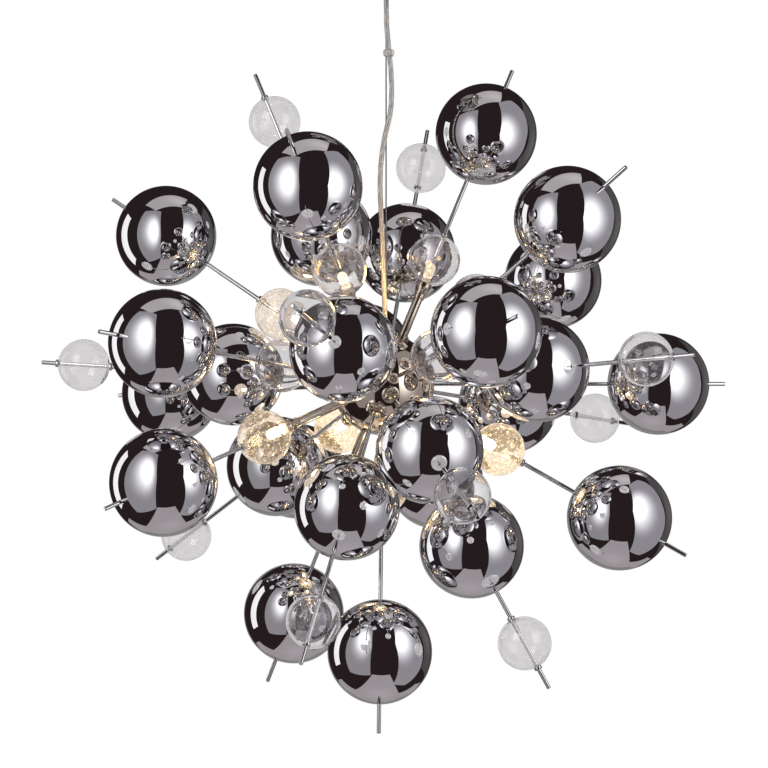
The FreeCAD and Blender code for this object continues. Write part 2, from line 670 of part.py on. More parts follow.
def shackle():
    """The small shackle between the ceiling eye and the wire's eye, with its pin."""
    bend = Vector(0, 0, shackle_bend_height())
    pin_height = shackle_pin_height()
    bow = ring(SHACKLE_BEND_RADIUS, SHACKLE_BAR_RADIUS, bend, ALONG_X, ALONG_Y, HALF_TURN)
    half_lug = SHACKLE_LUG_WIDTH / 2
    for side in (-1, 1):
        y = side * SHACKLE_BEND_RADIUS
        leg = bar(SHACKLE_BAR_RADIUS, Vector(0, y, pin_height), Vector(0, y, bend.z))
        lug = bar(SHACKLE_LUG_RADIUS, Vector(0, y - half_lug, pin_height), Vector(0, y + half_lug, pin_height))
        bow = bow.fuse([leg, lug])
    reach = SHACKLE_BEND_RADIUS + half_lug
    hole = bar(PIN_RADIUS + FIT, Vector(0, -reach - OVERRUN, pin_height), Vector(0, reach + OVERRUN, pin_height))
    write("shackle_bow", bow.removeSplitter().cut(hole))

    pin = bar(PIN_RADIUS, Vector(0, -reach - PIN_TAIL, pin_height), Vector(0, reach, pin_height))
    head = bar(PIN_HEAD_RADIUS, Vector(0, reach, pin_height), Vector(0, reach + PIN_HEAD_LENGTH, pin_height))
    write("shackle_pin", pin.fuse(head).removeSplitter())


def canopy():
    """The ceiling cup with its outlet bush and the two screws that hold it to the plate."""
    outer = cylinder(CANOPY_RADIUS, -CANOPY_DEPTH, 0)
    low_edges = [e for e in outer.Edges if e.BoundBox.ZMax < -CANOPY_DEPTH + CANOPY_WALL]
    outer = outer.makeFillet(CANOPY_EDGE_ROUND, low_edges)
    inner_radius = CANOPY_RADIUS - CANOPY_WALL
    inner = cylinder(inner_radius, -CANOPY_DEPTH + CANOPY_WALL, OVERRUN)
    low_edges = [e for e in inner.Edges if e.BoundBox.ZMax < -CANOPY_DEPTH + 2 * CANOPY_WALL]
    inner = inner.makeFillet(CANOPY_EDGE_ROUND - CANOPY_WALL, low_edges)
    bush_outer = BUSH_BORE_RADIUS + BUSH_WALL
    cup = outer.cut(inner).cut(cylinder(bush_outer + FIT, -CANOPY_DEPTH - OVERRUN, 0))
    reach = CANOPY_RADIUS + OVERRUN
    height = -EAR_SCREW_DROP
    cup = cup.cut(bar(CANOPY_SCREW_RADIUS + FIT, Vector(-reach, 0, height), Vector(reach, 0, height)))
    write("canopy", cup)

    lip_radius = bush_outer + BUSH_LIP
    bush = cylinder(bush_outer, -CANOPY_DEPTH, -CANOPY_DEPTH + BUSH_HEIGHT)
    lip = cylinder(lip_radius, -CANOPY_DEPTH - BUSH_LIP_THICKNESS, -CANOPY_DEPTH)
    bore = cylinder(BUSH_BORE_RADIUS, -CANOPY_DEPTH - BUSH_LIP_THICKNESS - OVERRUN, 0)
    write("canopy_bush", bush.fuse(lip).removeSplitter().cut(bore))

    screws = []
    for side in (-1, 1):
        inside = Vector(side * (CANOPY_RADIUS - CANOPY_SCREW_INNER), 0, height)
        outside = Vector(side * CANOPY_RADIUS, 0, height)
        head_end = Vector(side * (CANOPY_RADIUS + CANOPY_SCREW_HEAD_LENGTH), 0, height)
        shank = bar(CANOPY_SCREW_RADIUS, inside, outside)
        head = bar(CANOPY_SCREW_HEAD_RADIUS, outside, head_end)
        screws.append(shank.fuse(head).removeSplitter())
    write("canopy_screws", Part.makeCompound(screws))


def main():
    """Build every piece and write one file for each node."""
    os.makedirs("parts", exist_ok=True)
    ceiling_side()
    canopy()
    shackle()
    boss_foot = hub()
    cable_and_wire(boss_foot)
    plain_arms()
    lamps()


main()
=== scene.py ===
"""Glass pendant light: its glass, chrome and cable, and the studio that they are seen in.

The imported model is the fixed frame. All lengths are in metres unless a name says otherwise, with X to the right,
Y away from the viewer and Z up. The origin is on the ceiling, right above the suspension wire.
"""
from __future__ import annotations

import logging
import math
from dataclasses import dataclass, field
from enum import Enum
from typing import Sequence

import bmesh
import bpy
from mathutils import Matrix, Vector


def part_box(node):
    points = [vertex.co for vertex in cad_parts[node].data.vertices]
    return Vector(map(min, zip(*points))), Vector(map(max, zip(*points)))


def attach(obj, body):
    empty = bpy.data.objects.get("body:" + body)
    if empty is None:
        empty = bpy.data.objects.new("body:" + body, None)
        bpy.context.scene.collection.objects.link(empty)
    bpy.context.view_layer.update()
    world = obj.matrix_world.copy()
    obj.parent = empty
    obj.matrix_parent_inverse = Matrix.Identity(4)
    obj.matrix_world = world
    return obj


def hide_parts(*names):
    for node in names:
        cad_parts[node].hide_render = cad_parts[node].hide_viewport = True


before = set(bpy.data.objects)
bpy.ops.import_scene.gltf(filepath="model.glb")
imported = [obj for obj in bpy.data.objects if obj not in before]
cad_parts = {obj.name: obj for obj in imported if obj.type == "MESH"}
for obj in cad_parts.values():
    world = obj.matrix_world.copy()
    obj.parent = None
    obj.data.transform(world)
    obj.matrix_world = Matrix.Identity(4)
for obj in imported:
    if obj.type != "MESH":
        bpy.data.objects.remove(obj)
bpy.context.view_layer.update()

LOG = logging.getLogger("pendant")
MM = 0.001
UP = Vector((0, 0, 1))

Point = tuple[float, float]
Place = tuple[float, float, float]
Colour = tuple[float, float, float]

# Driving sizes of the pendant
HUB_CENTRE = Vector((-3 * MM, 0, -440 * MM))
HUB_RADIUS = 50 * MM
HUB_WALL = 8 * MM
CAP_RADIUS = 15 * MM
SCREW_DEPTH = 6 * MM
TIP_REACH = 340 * MM
CHROME_RADIUS = 50 * MM
CHROME_WALL = 1.5 * MM
CLEAR_RADIUS = 25.5 * MM
CLEAR_WALL = 1.2 * MM
ROD_RADIUS = 2 * MM
FIT = 0.05 * MM
SEAT_GAP = 0.1 * MM
SHARP_EDGE = math.radians(38)
ON_AXIS = MM * 1e-3
QUARTER = math.radians(90)

# Azimuth and elevation in degrees, then how far out the chrome ball and the clear one sit, as shares of the
# rods' reach. Azimuth 0 points at the viewer and 90 to the right.
LAMP_ARM_SHARES = (
    (112.0, 66.0, 0.794, 0.391),
    (-20.0, 42.0, 0.791, 0.468),
    (-108.0, 33.0, 0.797, 0.371),
    (-52.0, -19.5, 0.800, 0.444),
    (73.5, -28.5, 0.785, 0.388),
    (-159.0, -20.0, 0.788, 0.385),
    (-133.0, -62.0, 0.765, 0.388),
    (-3.0, -77.0, 0.771, 0.303),
)
OUTER_CHROME_ARM_SHARES = (
    (54.5, 36.0, 0.768, 0.397),
    (-49.5, 8.0, 0.788, 0.374),
    (-126.0, -2.0, 0.793, 0.556),
    (97.0, 0.0, 0.803, 0.397),
    (20.5, 10.0, 0.785, 0.432),
    (134.5, 23.5, 0.788, 0.397),
    (167.0, -22.5, 0.788, 0.397),
)
INNER_CHROME_ARM_SHARES = (
    (-117.5, 65.0, 0.474, 0.844),
    (167.5, 51.0, 0.500, 0.844),
    (-97.0, 3.6, 0.436, 0.875),
    (-126.0, -32.0, 0.456, 0.862),
    (-19.0, -48.0, 0.459, 0.856),
    (59.0, -57.5, 0.541, 0.856),
    (57.0, 4.5, 0.509, 0.853),
    (130.5, -7.0, 0.491, 0.856),
    (15.0, -20.0, 0.521, 0.853),
    (-13.5, 11.5, 0.474, 0.856),
    (-172.0, 12.0, 0.471, 0.853),
)

# How brightly each lamp glows, as a share of the brightest.
LAMP_GLOW_SHARES = (0.03, 0.06, 0.4, 0.6, 0.95, 1.0, 0.6, 0.6)

# The cable's route in millimetres: X, Y and the height above the hub's centre.
CABLE_ROUTE = (
    (-15.4, -5.4, 420.0),
    (-13.2, -4.9, 414.5),
    (-7.6, -4.6, 404.0),
    (-1.9, -4.8, 390.0),
    (0.3, -5.1, 373.0),
    (0.4, -4.8, 347.0),
    (2.9, -3.5, 324.0),
    (5.6, -3.1, 296.0),
    (5.2, -3.9, 266.0),
    (-1.2, -4.6, 242.0),
    (-5.4, -4.4, 215.0),
    (-6.0, -4.0, 184.0),
    (-3.8, -4.1, 150.0),
    (-2.7, -4.6, 112.0),
    (-0.9, -5.6, 68.0),
    (-0.9, -5.6, 34.0),
)


class Body(str, Enum):
    """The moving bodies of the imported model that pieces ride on."""

    CANOPY = "canopy"
    PENDANT = "pendant"


@dataclass(frozen=True)
class Arm:
    """One straight arm of the pendant: where it points and how far out its two balls sit."""

    azimuth: float
    elevation: float
    chrome: float
    clear: float

    @classmethod
    def of(cls, row: Sequence[float]) -> "Arm":
        """An arm from a row of degrees and shares of the reach."""
        return cls(math.radians(row[0]), math.radians(row[1]), row[2] * TIP_REACH, row[3] * TIP_REACH)

    def direction(self) -> Vector:
        """The unit vector along the arm, away from the hub."""
        level = math.cos(self.elevation)
        return Vector((level * math.sin(self.azimuth), -level * math.cos(self.azimuth), math.sin(self.elevation)))

    def place(self, distance: float = 0.0) -> Matrix:
        """The place of a piece that was made along Z.

        Args:
            distance: how far from the hub's centre the piece's origin goes.

        Returns:
            The matrix that turns Z into the arm's direction and moves the piece out along it.
        """
        turn = UP.rotation_difference(self.direction())
        return Matrix.Translation(HUB_CENTRE + self.direction() * distance) @ turn.to_matrix().to_4x4()


class Signal:
    """A shader socket that takes part in Python sums, each of which adds a Math node."""

    def __init__(self, shader: "Shader", socket: bpy.types.NodeSocket) -> None:
        """Keep the socket and the shader that its nodes are added to."""
        self.shader = shader
        self.socket = socket

    def maths(self, operation: str, *values: "float | Signal") -> "Signal":
        """The result of a Math node on these values."""
        return self.shader.node("ShaderNodeMath", {"operation": operation}, dict(enumerate(values)))

    def __add__(self, other: "float | Signal") -> "Signal":
        """Sum of the two."""
        return self.maths("ADD", self, other)

    __radd__ = __add__

    def __sub__(self, other: "float | Signal") -> "Signal":
        """This less the other."""
        return self.maths("SUBTRACT", self, other)

    def __rsub__(self, other: "float | Signal") -> "Signal":
        """The other less this."""
        return self.maths("SUBTRACT", other, self)

    def __mul__(self, other: "float | Signal") -> "Signal":
        """Product of the two."""
        return self.maths("MULTIPLY", self, other)

    __rmul__ = __mul__

    def __pow__(self, other: float) -> "Signal":
        """This raised to a power."""
        return self.maths("POWER", self, other)

    def above(self, edge: float, soft: float) -> "Signal":
        """A mask that rises from 0 to 1 as this passes an edge, over a soft width.

        Args:
            edge: the value at which the mask is one half.
            soft: how far it takes on either side of the edge.

        Returns:
            The mask.
        """
        ends = {"From Min": edge - soft, "From Max": edge + soft}
        settings = {"interpolation_type": "SMOOTHSTEP"}
        return self.shader.node("ShaderNodeMapRange", settings, {"Value": self, **ends})


class Shader:
    """The node tree of one material or of the world."""

    def __init__(self, tree: bpy.types.NodeTree) -> None:
        """Start from an empty tree."""
        self.tree = tree
        self.tree.nodes.clear()

    def node(self, kind: str, settings: dict | None = None, values: dict | None = None, output: int = 0) -> Signal:
        """Add a node.

        Args:
            kind: the node's type.
            settings: what is set on the node before its sockets, and "stops" for a ramp's stops.
            values: numbers, colours or signals by socket name or number.
            output: the number of the output that is returned.

        Returns:
            That output as a signal.
        """
        made = self.tree.nodes.new(kind)
        for name, value in (settings or {}).items():
            if name == "stops":
                self._set_stops(made.color_ramp, value)
            else:
                setattr(made, name, value)
        for name, value in (values or {}).items():
            if isinstance(value, Signal):
                self.tree.links.new(value.socket, made.inputs[name])
            else:
                made.inputs[name].default_value = value
        return Signal(self, made.outputs[output])

    @staticmethod
    def _set_stops(ramp: bpy.types.ColorRamp, stops: Sequence[tuple[float, Colour]]) -> None:
        """Give a ramp its stops.

        Args:
            ramp: the ramp.
            stops: positions with their colours.
        """
        while len(ramp.elements) < len(stops):
            ramp.elements.new(1.0)
        for element, (position, colour) in zip(ramp.elements, stops):
            element.position = position
            element.color = (*colour, 1.0)

    def place(self) -> Signal:
        """Object coordinates in metres."""
        return self.node("ShaderNodeTexCoord", output=3)

    def noise(self, where: Signal, scale: float, detail: float = 3.0, roughness: float = 0.5) -> Signal:
        """Fine cloudy noise from 0 to 1."""
        values = {"Vector": where, "Scale": scale, "Detail": detail, "Roughness": roughness}
        return self.node("ShaderNodeTexNoise", values=values)

    def blend(self, mask: "float | Signal", low: "Colour | Signal", high: "Colour | Signal") -> Signal:
        """A colour between two others by a mask.

        Args:
            mask: 0 for the low colour and 1 for the high one.
            low: the first colour.
            high: the second colour.

        Returns:
            The colour.
        """
        values = {0: mask, 6: low if isinstance(low, Signal) else (*low, 1.0),
                  7: high if isinstance(high, Signal) else (*high, 1.0)}
        return self.node("ShaderNodeMix", {"data_type": "RGBA"}, values, output=2)

    def bump(self, height: Signal, strength: float, depth: float) -> Signal:
        """A normal raised by a height, with the bump's depth in metres."""
        return self.node("ShaderNodeBump", values={"Height": height, "Strength": strength, "Distance": depth})

    def surface(self, values: dict) -> Signal:
        """The main surface shader with these socket values."""
        return self.node("ShaderNodeBsdfPrincipled", values=values)

    def finish(self, shade: Signal, output: str = "ShaderNodeOutputMaterial") -> None:
        """Send a shader to the tree's output."""
        made = self.tree.nodes.new(output)
        self.tree.links.new(shade.socket, made.inputs["Surface"])


def opaque(colour: Colour) -> tuple[float, float, float, float]:
    """A colour with full alpha."""
    return (*colour, 1.0)


@dataclass(frozen=True)
class Finish:
    """A named finish that makes its own material once."""

    name: str
    slot: str

    def material(self) -> bpy.types.Material:
        """The finish as a material, made the first time that it is asked for.

        Returns:
            The material.
        """
        found = bpy.data.materials.get(self.name)
        if found:
            return found
        made = bpy.data.materials.new(self.name)
        made.use_nodes = True
        made.cycles.emission_sampling = "NONE"
        self.shade(Shader(made.node_tree))
        return made

    def shade(self, shader: Shader) -> None:
        """Fill the material's tree."""
        raise NotImplementedError


@dataclass(frozen=True)
class Plated(Finish):
    """Polished metal or mirrored glass: nearly a mirror, with faint handling haze and a little waviness."""

    tone: Colour = (0.80, 0.80, 0.81)
    roughness: float = 0.03
    haze: float = 0.03
    wave: float = 0.02
    wave_scale: float = 30.0
    wave_depth: float = 0.8 * MM
    cloud_scale: float = 45.0
    fine_scale: float = 420.0
    fine_share: float = 0.4
    darkening: float = 0.955
    haze_mask: Point = (0.62, 0.12)
    tone_mask: Point = (0.55, 0.25)

    def shade(self, shader: Shader) -> None:
        """Mirror tone with hazy patches in the roughness and a slow wave in the normal.

        Args:
            shader: the material's tree.
        """
        where = shader.place()
        cloud = shader.noise(where, self.cloud_scale, 4.0, 0.6)
        fine = shader.noise(where, self.fine_scale, 2.0)
        haze = cloud.above(*self.haze_mask) * self.haze + fine * (self.haze * self.fine_share)
        darker = tuple(channel * self.darkening for channel in self.tone)
        tone = shader.blend(cloud.above(*self.tone_mask), self.tone, darker)
        normal = shader.bump(shader.noise(where, self.wave_scale, 1.0), self.wave, self.wave_depth)
        shader.finish(shader.surface({
            "Base Color": tone, "Metallic": 1.0, "Roughness": haze + self.roughness, "Normal": normal}))


@dataclass(frozen=True)
class Satin(Finish):
    """Zinc plated or stranded steel with a fine grain."""

    tone: Colour = (0.62, 0.62, 0.60)
    dark: Colour = (0.42, 0.42, 0.41)
    roughness: float = 0.32
    plating_scale: float = 130.0
    scratch_scale: float = 1400.0
    scratch: float = 0.12
    scratch_depth: float = 0.05 * MM
    tone_mask: Point = (0.5, 0.2)
    plating_share: float = 0.14
    scratch_share: float = 0.1

    def shade(self, shader: Shader) -> None:
        """Blotchy plating over a fine grain.

        Args:
            shader: the material's tree.
        """
        where = shader.place()
        plating = shader.noise(where, self.plating_scale, 5.0, 0.65)
        scratches = shader.noise(where, self.scratch_scale, 2.0)
        tone = shader.blend(plating.above(*self.tone_mask), self.tone, self.dark)
        smooth = self.roughness - self.scratch_share
        rough = plating * self.plating_share + scratches * self.scratch_share + smooth
        normal = shader.bump(scratches, self.scratch, self.scratch_depth)
        shader.finish(shader.surface({
            "Base Color": tone, "Metallic": 1.0, "Roughness": rough, "Normal": normal}))


@dataclass(frozen=True)
class ClearGlass(Finish):
    """Thin blown glass with slight waves and a few seeds, which may have a painted glow in its emission, standing for
    the bulb's light in it.
    """

    tint: Colour = (0.83, 0.815, 0.825)
    ior: float = 1.47
    wave: float = 0.06
    wave_depth: float = 1.0 * MM
    ripple: float = 38.0
    seed_scale: float = 520.0
    seed_mask: Point = (0.74, 0.03)
    seed_height: float = 0.15
    film: float = 0.012
    film_mask: Point = (0.6, 0.2)
    glow: float = 0.0
    warm: Colour = (1.0, 0.83, 0.55)
    painted_glow_dim_share: float = 0.14
    painted_sparkle_scale: float = 330.0
    painted_spark_edge: float = 0.62
    painted_spark_soft: float = 0.08

    def shade(self, shader: Shader) -> None:
        """Clear glass whose surface waves a little, with a painted glow that breaks up into painted sparkle highlights.

        Args:
            shader: the material's tree.
        """
        where = shader.place()
        slow = shader.noise(where, self.ripple, 2.0)
        seeds = shader.noise(where, self.seed_scale, 1.0).above(*self.seed_mask)
        normal = shader.bump(slow + seeds * self.seed_height, self.wave, self.wave_depth)
        film = slow.above(*self.film_mask) * self.film
        values = {"Base Color": opaque(self.tint), "Roughness": film, "IOR": self.ior,
                  "Transmission Weight": 1.0, "Normal": normal}
        # Painted glow: warm emission in the glass, broken into painted sparkle highlights, standing for the bulb's
        # light in it.
        if self.glow > 0.0:
            painted_sparks = shader.noise(where, self.painted_sparkle_scale, 4.0, 0.6).above(self.painted_spark_edge, self.painted_spark_soft)
            dim = tuple(channel * self.painted_glow_dim_share for channel in self.warm)
            values["Emission Color"] = shader.blend(painted_sparks, dim, self.warm)
            values["Emission Strength"] = self.glow
        shader.finish(shader.surface(values))


@dataclass(frozen=True)
class Moulded(Finish):
    """Moulded plastic or glazed ceramic with a fine texture."""

    colour: Colour = (0.8, 0.8, 0.78)
    shadow: Colour = (0.7, 0.7, 0.68)
    roughness: float = 0.45
    clear: float = 0.0
    ior: float = 1.46
    patch_scale: float = 160.0
    tone_mask: Point = (0.5, 0.3)
    texture: float = 900.0
    grit_share: float = 0.12
    bumpiness: float = 0.25
    depth: float = 0.04 * MM
    lit: float = 0.0

    def shade(self, shader: Shader) -> None:
        """Slightly uneven colour with a fine moulded texture, and some light of its own where it is lit.

        Args:
            shader: the material's tree.
        """
        where = shader.place()
        patch = shader.noise(where, self.patch_scale, 3.0)
        grit = shader.noise(where, self.texture, 3.0)
        colour = shader.blend(patch.above(*self.tone_mask), self.colour, self.shadow)
        rough = grit * self.grit_share + (self.roughness - self.grit_share / 2)
        shader.finish(shader.surface({
            "Base Color": colour, "Roughness": rough, "IOR": self.ior,
            "Transmission Weight": self.clear, "Normal": shader.bump(grit, self.bumpiness, self.depth),
            "Emission Color": opaque((1, 1, 1)), "Emission Strength": self.lit}))


@dataclass(frozen=True)
class Glow(Finish):
    """White hot wire, or dull tungsten where the lamp is off."""

    colour: Colour = (1.0, 0.78, 0.46)
    metal: Colour = (0.20, 0.19, 0.18)
    strength: float = 30.0
    heat_scale: float = 700.0
    heat_mask: Point = (0.5, 0.3)
    cooler: float = 0.8
    roughness: float = 0.4

    def shade(self, shader: Shader) -> None:
        """Glowing wire with a slightly uneven heat.

        Args:
            shader: the material's tree.
        """
        heat = shader.noise(shader.place(), self.heat_scale, 2.0)
        colour = shader.blend(heat.above(*self.heat_mask), self.colour, tuple(c * self.cooler for c in self.colour))
        shader.finish(shader.surface({
            "Base Color": opaque(self.metal), "Metallic": 1.0, "Roughness": self.roughness,
            "Emission Color": colour, "Emission Strength": self.strength}))


MIRROR = Plated("mirrored glass", "mirrored_glass", tone=(0.74, 0.735, 0.75), roughness=0.012, haze=0.02)
CHROME = Plated("chrome plate", "chrome_plate", tone=(0.70, 0.70, 0.70), roughness=0.05, haze=0.05, wave=0.01)
# Chrome tinted warm: a painted warm reflection of the glowing bulbs and globes on the stems and cups.
STEM_CHROME_PAINTED_WARM = Plated("stem chrome with painted warm reflection", "chrome_plate", tone=(0.66, 0.58, 0.48), roughness=0.06, haze=0.05, wave=0.01)
# Chrome tinted warm: a painted warm reflection of the glowing bulbs and globes on the hub and its cap.
HUB_CHROME_PAINTED_WARM = Plated("hub chrome with painted warm reflection", "hub_chrome", tone=(0.74, 0.64, 0.53), roughness=0.03, haze=0.04)
CLEAR = ClearGlass("clear blown glass", "clear_glass")
ZINC = Satin("zinc steel", "zinc_steel")
WIRE_STEEL = Satin("wire steel", "wire_steel", tone=(0.46, 0.45, 0.45), dark=(0.30, 0.29, 0.29), roughness=0.3)
NICKEL = Satin("nickel pins", "bulb_glass", tone=(0.66, 0.63, 0.56), dark=(0.5, 0.48, 0.43), roughness=0.25)
STRANDS = Satin("tinned strands", "cable_plastic", tone=(0.66, 0.62, 0.58), dark=(0.50, 0.46, 0.43), roughness=0.3)
WHITE_PLASTIC = Moulded("white plastic", "white_plastic", colour=(0.80, 0.80, 0.78), shadow=(0.74, 0.74, 0.72))
CABLE_PLASTIC = Moulded(
    "cable plastic", "cable_plastic", colour=(0.70, 0.69, 0.69), shadow=(0.62, 0.61, 0.61), roughness=0.18, clear=0.75)
CLIP_PLASTIC = Moulded(
    "clip plastic", "clip_plastic", colour=(0.82, 0.81, 0.80), shadow=(0.76, 0.75, 0.74), roughness=0.2, clear=0.6)
CERAMIC = Moulded("ceramic", "ceramic", colour=(0.84, 0.81, 0.75), shadow=(0.76, 0.73, 0.67), roughness=0.5)


def arc(radius: float, start: float, end: float, steps: int, centre: Point = (0.0, 0.0)) -> list[Point]:
    """Points on an arc in the outline plane.

    Args:
        radius: the arc's radius.
        start: first angle in radians, from the outward axis towards Z.
        end: last angle in radians.
        steps: the number of steps between the two.
        centre: the arc's centre as (radius, height).

    Returns:
        The points, both ends included.
    """
    angles = [start + (end - start) * step / steps for step in range(steps + 1)]
    return [(centre[0] + radius * math.cos(a), centre[1] + radius * math.sin(a)) for a in angles]


def turns(sides: int) -> list[float]:
    """The angles of a ring's points."""
    return [2 * math.pi * side / sides for side in range(sides)]


def eased(share: float) -> float:
    """A share from 0 to 1 that sets off and arrives softly."""
    return share * share * (3 - 2 * share)


def soft_ring(half_x: float, half_y: float, height: float, power: float, sides: int) -> list[Place]:
    """A level ring round the Z axis, between a rectangle and an ellipse.

    Args:
        half_x: its half width along X.
        half_y: its half width along Y.
        height: the height that it lies at.
        power: 1 for an ellipse, and less for squarer corners.
        sides: the number of its points.

    Returns:
        The points.
    """
    ring = []
    for turn in turns(sides):
        c, s = math.cos(turn), math.sin(turn)
        ring.append((half_x * math.copysign(abs(c) ** power, c), half_y * math.copysign(abs(s) ** power, s), height))
    return ring


def lathe(outline: Sequence[Point], sides: int, ring: bool = True) -> bpy.types.Mesh:
    """Turn an outline about the Z axis.

    Args:
        outline: (radius, height) points in order.
        sides: the number of sides of the turned form.
        ring: whether the outline closes on itself. If not, its ends lie on the axis and become poles.

    Returns:
        A closed mesh with its faces outwards.
    """
    form = bmesh.new()
    columns = []
    for radius, height in outline:
        if radius < ON_AXIS:
            columns.append([form.verts.new((0, 0, height))] * sides)
            continue
        columns.append([form.verts.new((radius * math.cos(t), radius * math.sin(t), height)) for t in turns(sides)])
    pairs = zip(columns, columns[1:] + (columns[:1] if ring else []))
    for lower, upper in pairs:
        for side in range(sides):
            after = (side + 1) % sides
            corners = list(dict.fromkeys([lower[side], lower[after], upper[after], upper[side]]))
            if len(corners) > 2:
                form.faces.new(corners)
    return closed_mesh(form)


def plain_mesh(form: bmesh.types.BMesh) -> bpy.types.Mesh:
    """A mesh from a form, which is freed.

    Args:
        form: the form, which can't be used any more.

    Returns:
        The mesh.
    """
    made = bpy.data.meshes.new("form")
    form.to_mesh(made)
    form.free()
    return made


def smooth_mesh(form: bmesh.types.BMesh) -> bpy.types.Mesh:
    """A smooth-shaded mesh from a form, with its hard edges kept sharp.

    Args:
        form: the form, which can't be used any more.

    Returns:
        The mesh.
    """
    for face in form.faces:
        face.smooth = True
    made = plain_mesh(form)
    made.set_sharp_from_angle(angle=SHARP_EDGE)
    return made


def closed_mesh(form: bmesh.types.BMesh) -> bpy.types.Mesh:
    """A smooth-shaded mesh from a closed form, with its faces turned outwards."""
    bmesh.ops.recalc_face_normals(form, faces=form.faces)
    return smooth_mesh(form)


def joined(*placed: tuple[bpy.types.Mesh, Matrix]) -> bmesh.types.BMesh:
    """One form from several meshes, each of which is moved to its place and then removed.

    Args:
        *placed: each mesh with the matrix that puts it in place.

    Returns:
        The form.
    """
    form = bmesh.new()
    for mesh, place in placed:
        mesh.transform(place)
        form.from_mesh(mesh)
        bpy.data.meshes.remove(mesh)
    return form


def skin(form: bmesh.types.BMesh, rings: Sequence[list[bmesh.types.BMVert]], inward: bool = False) -> None:
    """Put faces between rings of equal length, and one across each end.

    Args:
        form: the form that holds the rings and gets the faces.
        rings: the rings in order.
        inward: whether the faces look inwards, as those of a hollow do.
    """
    order = -1 if inward else 1
    for lower, upper in zip(rings, rings[1:]):
        for side in range(len(lower)):
            after = (side + 1) % len(lower)
            form.faces.new((lower[side], lower[after], upper[after], upper[side])[::order])
    form.faces.new(rings[0][::-order])
    form.faces.new(rings[-1][::order])


def frames(path: Sequence[Vector]) -> list[tuple[Vector, Vector, Vector]]:
    """Each point of a path, with two directions across the path that don't spin along the way.

    Args:
        path: the points in order.

    Returns:
        For each point, the point and the two directions.
    """
    across = (path[1] - path[0]).orthogonal().normalized()
    made = []
    for before, point, after in zip([path[0], *path], path, [*path[1:], path[-1]]):
        ahead = (after - before).normalized()
        across = (across - ahead * across.dot(ahead)).normalized()
        made.append((point, across, ahead.cross(across)))
    return made


def tube(path: Sequence[Vector], radius: float, sides: int) -> bpy.types.Mesh:
    """A round tube along a path, with closed ends.

    Args:
        path: the points of its centre line.
        radius: the tube's radius.
        sides: the number of sides of its section.

    Returns:
        The tube's mesh.
    """
    form = bmesh.new()
    skin(form, [[form.verts.new(point + (across * math.cos(t) + side * math.sin(t)) * radius) for t in turns(sides)]
                for point, across, side in frames(path)])
    return closed_mesh(form)


def add_object(name: str, data: bpy.types.ID) -> bpy.types.Object:
    """A new object in the scene, at the origin.

    Args:
        name: the object's name.
        data: its mesh, curve, lamp or camera.

    Returns:
        The object.
    """
    made = bpy.data.objects.new(name, data)
    bpy.context.scene.collection.objects.link(made)
    return made


def piece(name: str, mesh: bpy.types.Mesh, finish: Finish, body: str, *replaced: str) -> bpy.types.Object:
    """Dress a mesh as a finished piece.

    Args:
        name: the piece's name.
        mesh: its mesh, already in place.
        finish: what it is made of.
        body: the body that it rides on.
        *replaced: the nodes that it stands for.

    Returns:
        The piece.
    """
    mesh.materials.clear()
    mesh.materials.append(finish.material())
    made = add_object(name, mesh)
    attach(made, body)
    if replaced:
        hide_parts(*replaced)
    LOG.info("%s: %d faces on %s", name, len(mesh.polygons), body)
    return made


class GeometryTree:
    """A geometry node tree that is built here and then run on one object."""

    def __init__(self, name: str) -> None:
        """Start a tree with a geometry in and out.

        Args:
            name: the tree's name.
        """
        self.tree = bpy.data.node_groups.new(name, "GeometryNodeTree")
        self.identifiers: dict[str, str] = {}
        self.input("Geometry", "NodeSocketGeometry")
        self.tree.interface.new_socket("Geometry", in_out="OUTPUT", socket_type="NodeSocketGeometry")
        self.entry = self.tree.nodes.new("NodeGroupInput")
        self.exit = self.tree.nodes.new("NodeGroupOutput")

    def input(self, name: str, kind: str) -> None:
        """Add a named input to the tree."""
        socket = self.tree.interface.new_socket(name, in_out="INPUT", socket_type=kind)
        self.identifiers[name] = socket.identifier

    def given(self, name: str) -> bpy.types.NodeSocket:
        """The socket of a named input, inside the tree."""
        return self.entry.outputs[name]

    def node(self, kind: str, values: dict | None = None, **settings: object) -> bpy.types.Node:
        """Add a node, with its settings first and then its socket values or links.

        Args:
            kind: the node's type.
            values: numbers or sockets by socket name or number.
            **settings: what is set on the node before its sockets.

        Returns:
            The node.
        """
        made = self.tree.nodes.new(kind)
        for name, value in settings.items():
            setattr(made, name, value)
        for name, value in (values or {}).items():
            if isinstance(value, bpy.types.NodeSocket):
                self.tree.links.new(value, made.inputs[name])
            else:
                made.inputs[name].default_value = value
        return made

    def maths(self, operation: str, *values: object) -> bpy.types.NodeSocket:
        """The result of a Math node."""
        return self.node("ShaderNodeMath", dict(enumerate(values)), operation=operation).outputs[0]

    def close(self, geometry: bpy.types.NodeSocket) -> None:
        """Realise the instances, give them the tree's finish and send them out.

        Args:
            geometry: the socket that holds the finished shape.
        """
        real = self.node("GeometryNodeRealizeInstances", {"Geometry": geometry})
        values = {"Geometry": real.outputs[0], "Material": self.given("Finish")}
        dressed = self.node("GeometryNodeSetMaterial", values)
        self.tree.links.new(dressed.outputs[0], self.exit.inputs[0])

    def run(self, base: bpy.types.Mesh, values: dict[str, object]) -> bpy.types.Mesh:
        """Run the tree on a mesh.

        Args:
            base: the mesh that the tree starts from.
            values: the tree's inputs by name.

        Returns:
            The result as a plain mesh of its own.
        """
        holder = add_object("holder", base)
        modifier = holder.modifiers.new("tree", "NODES")
        modifier.node_group = self.tree
        for name, value in values.items():
            modifier[self.identifiers[name]] = value
        depsgraph = bpy.context.evaluated_depsgraph_get()
        made = bpy.data.meshes.new_from_object(holder.evaluated_get(depsgraph), depsgraph=depsgraph)
        bpy.data.objects.remove(holder)
        return made


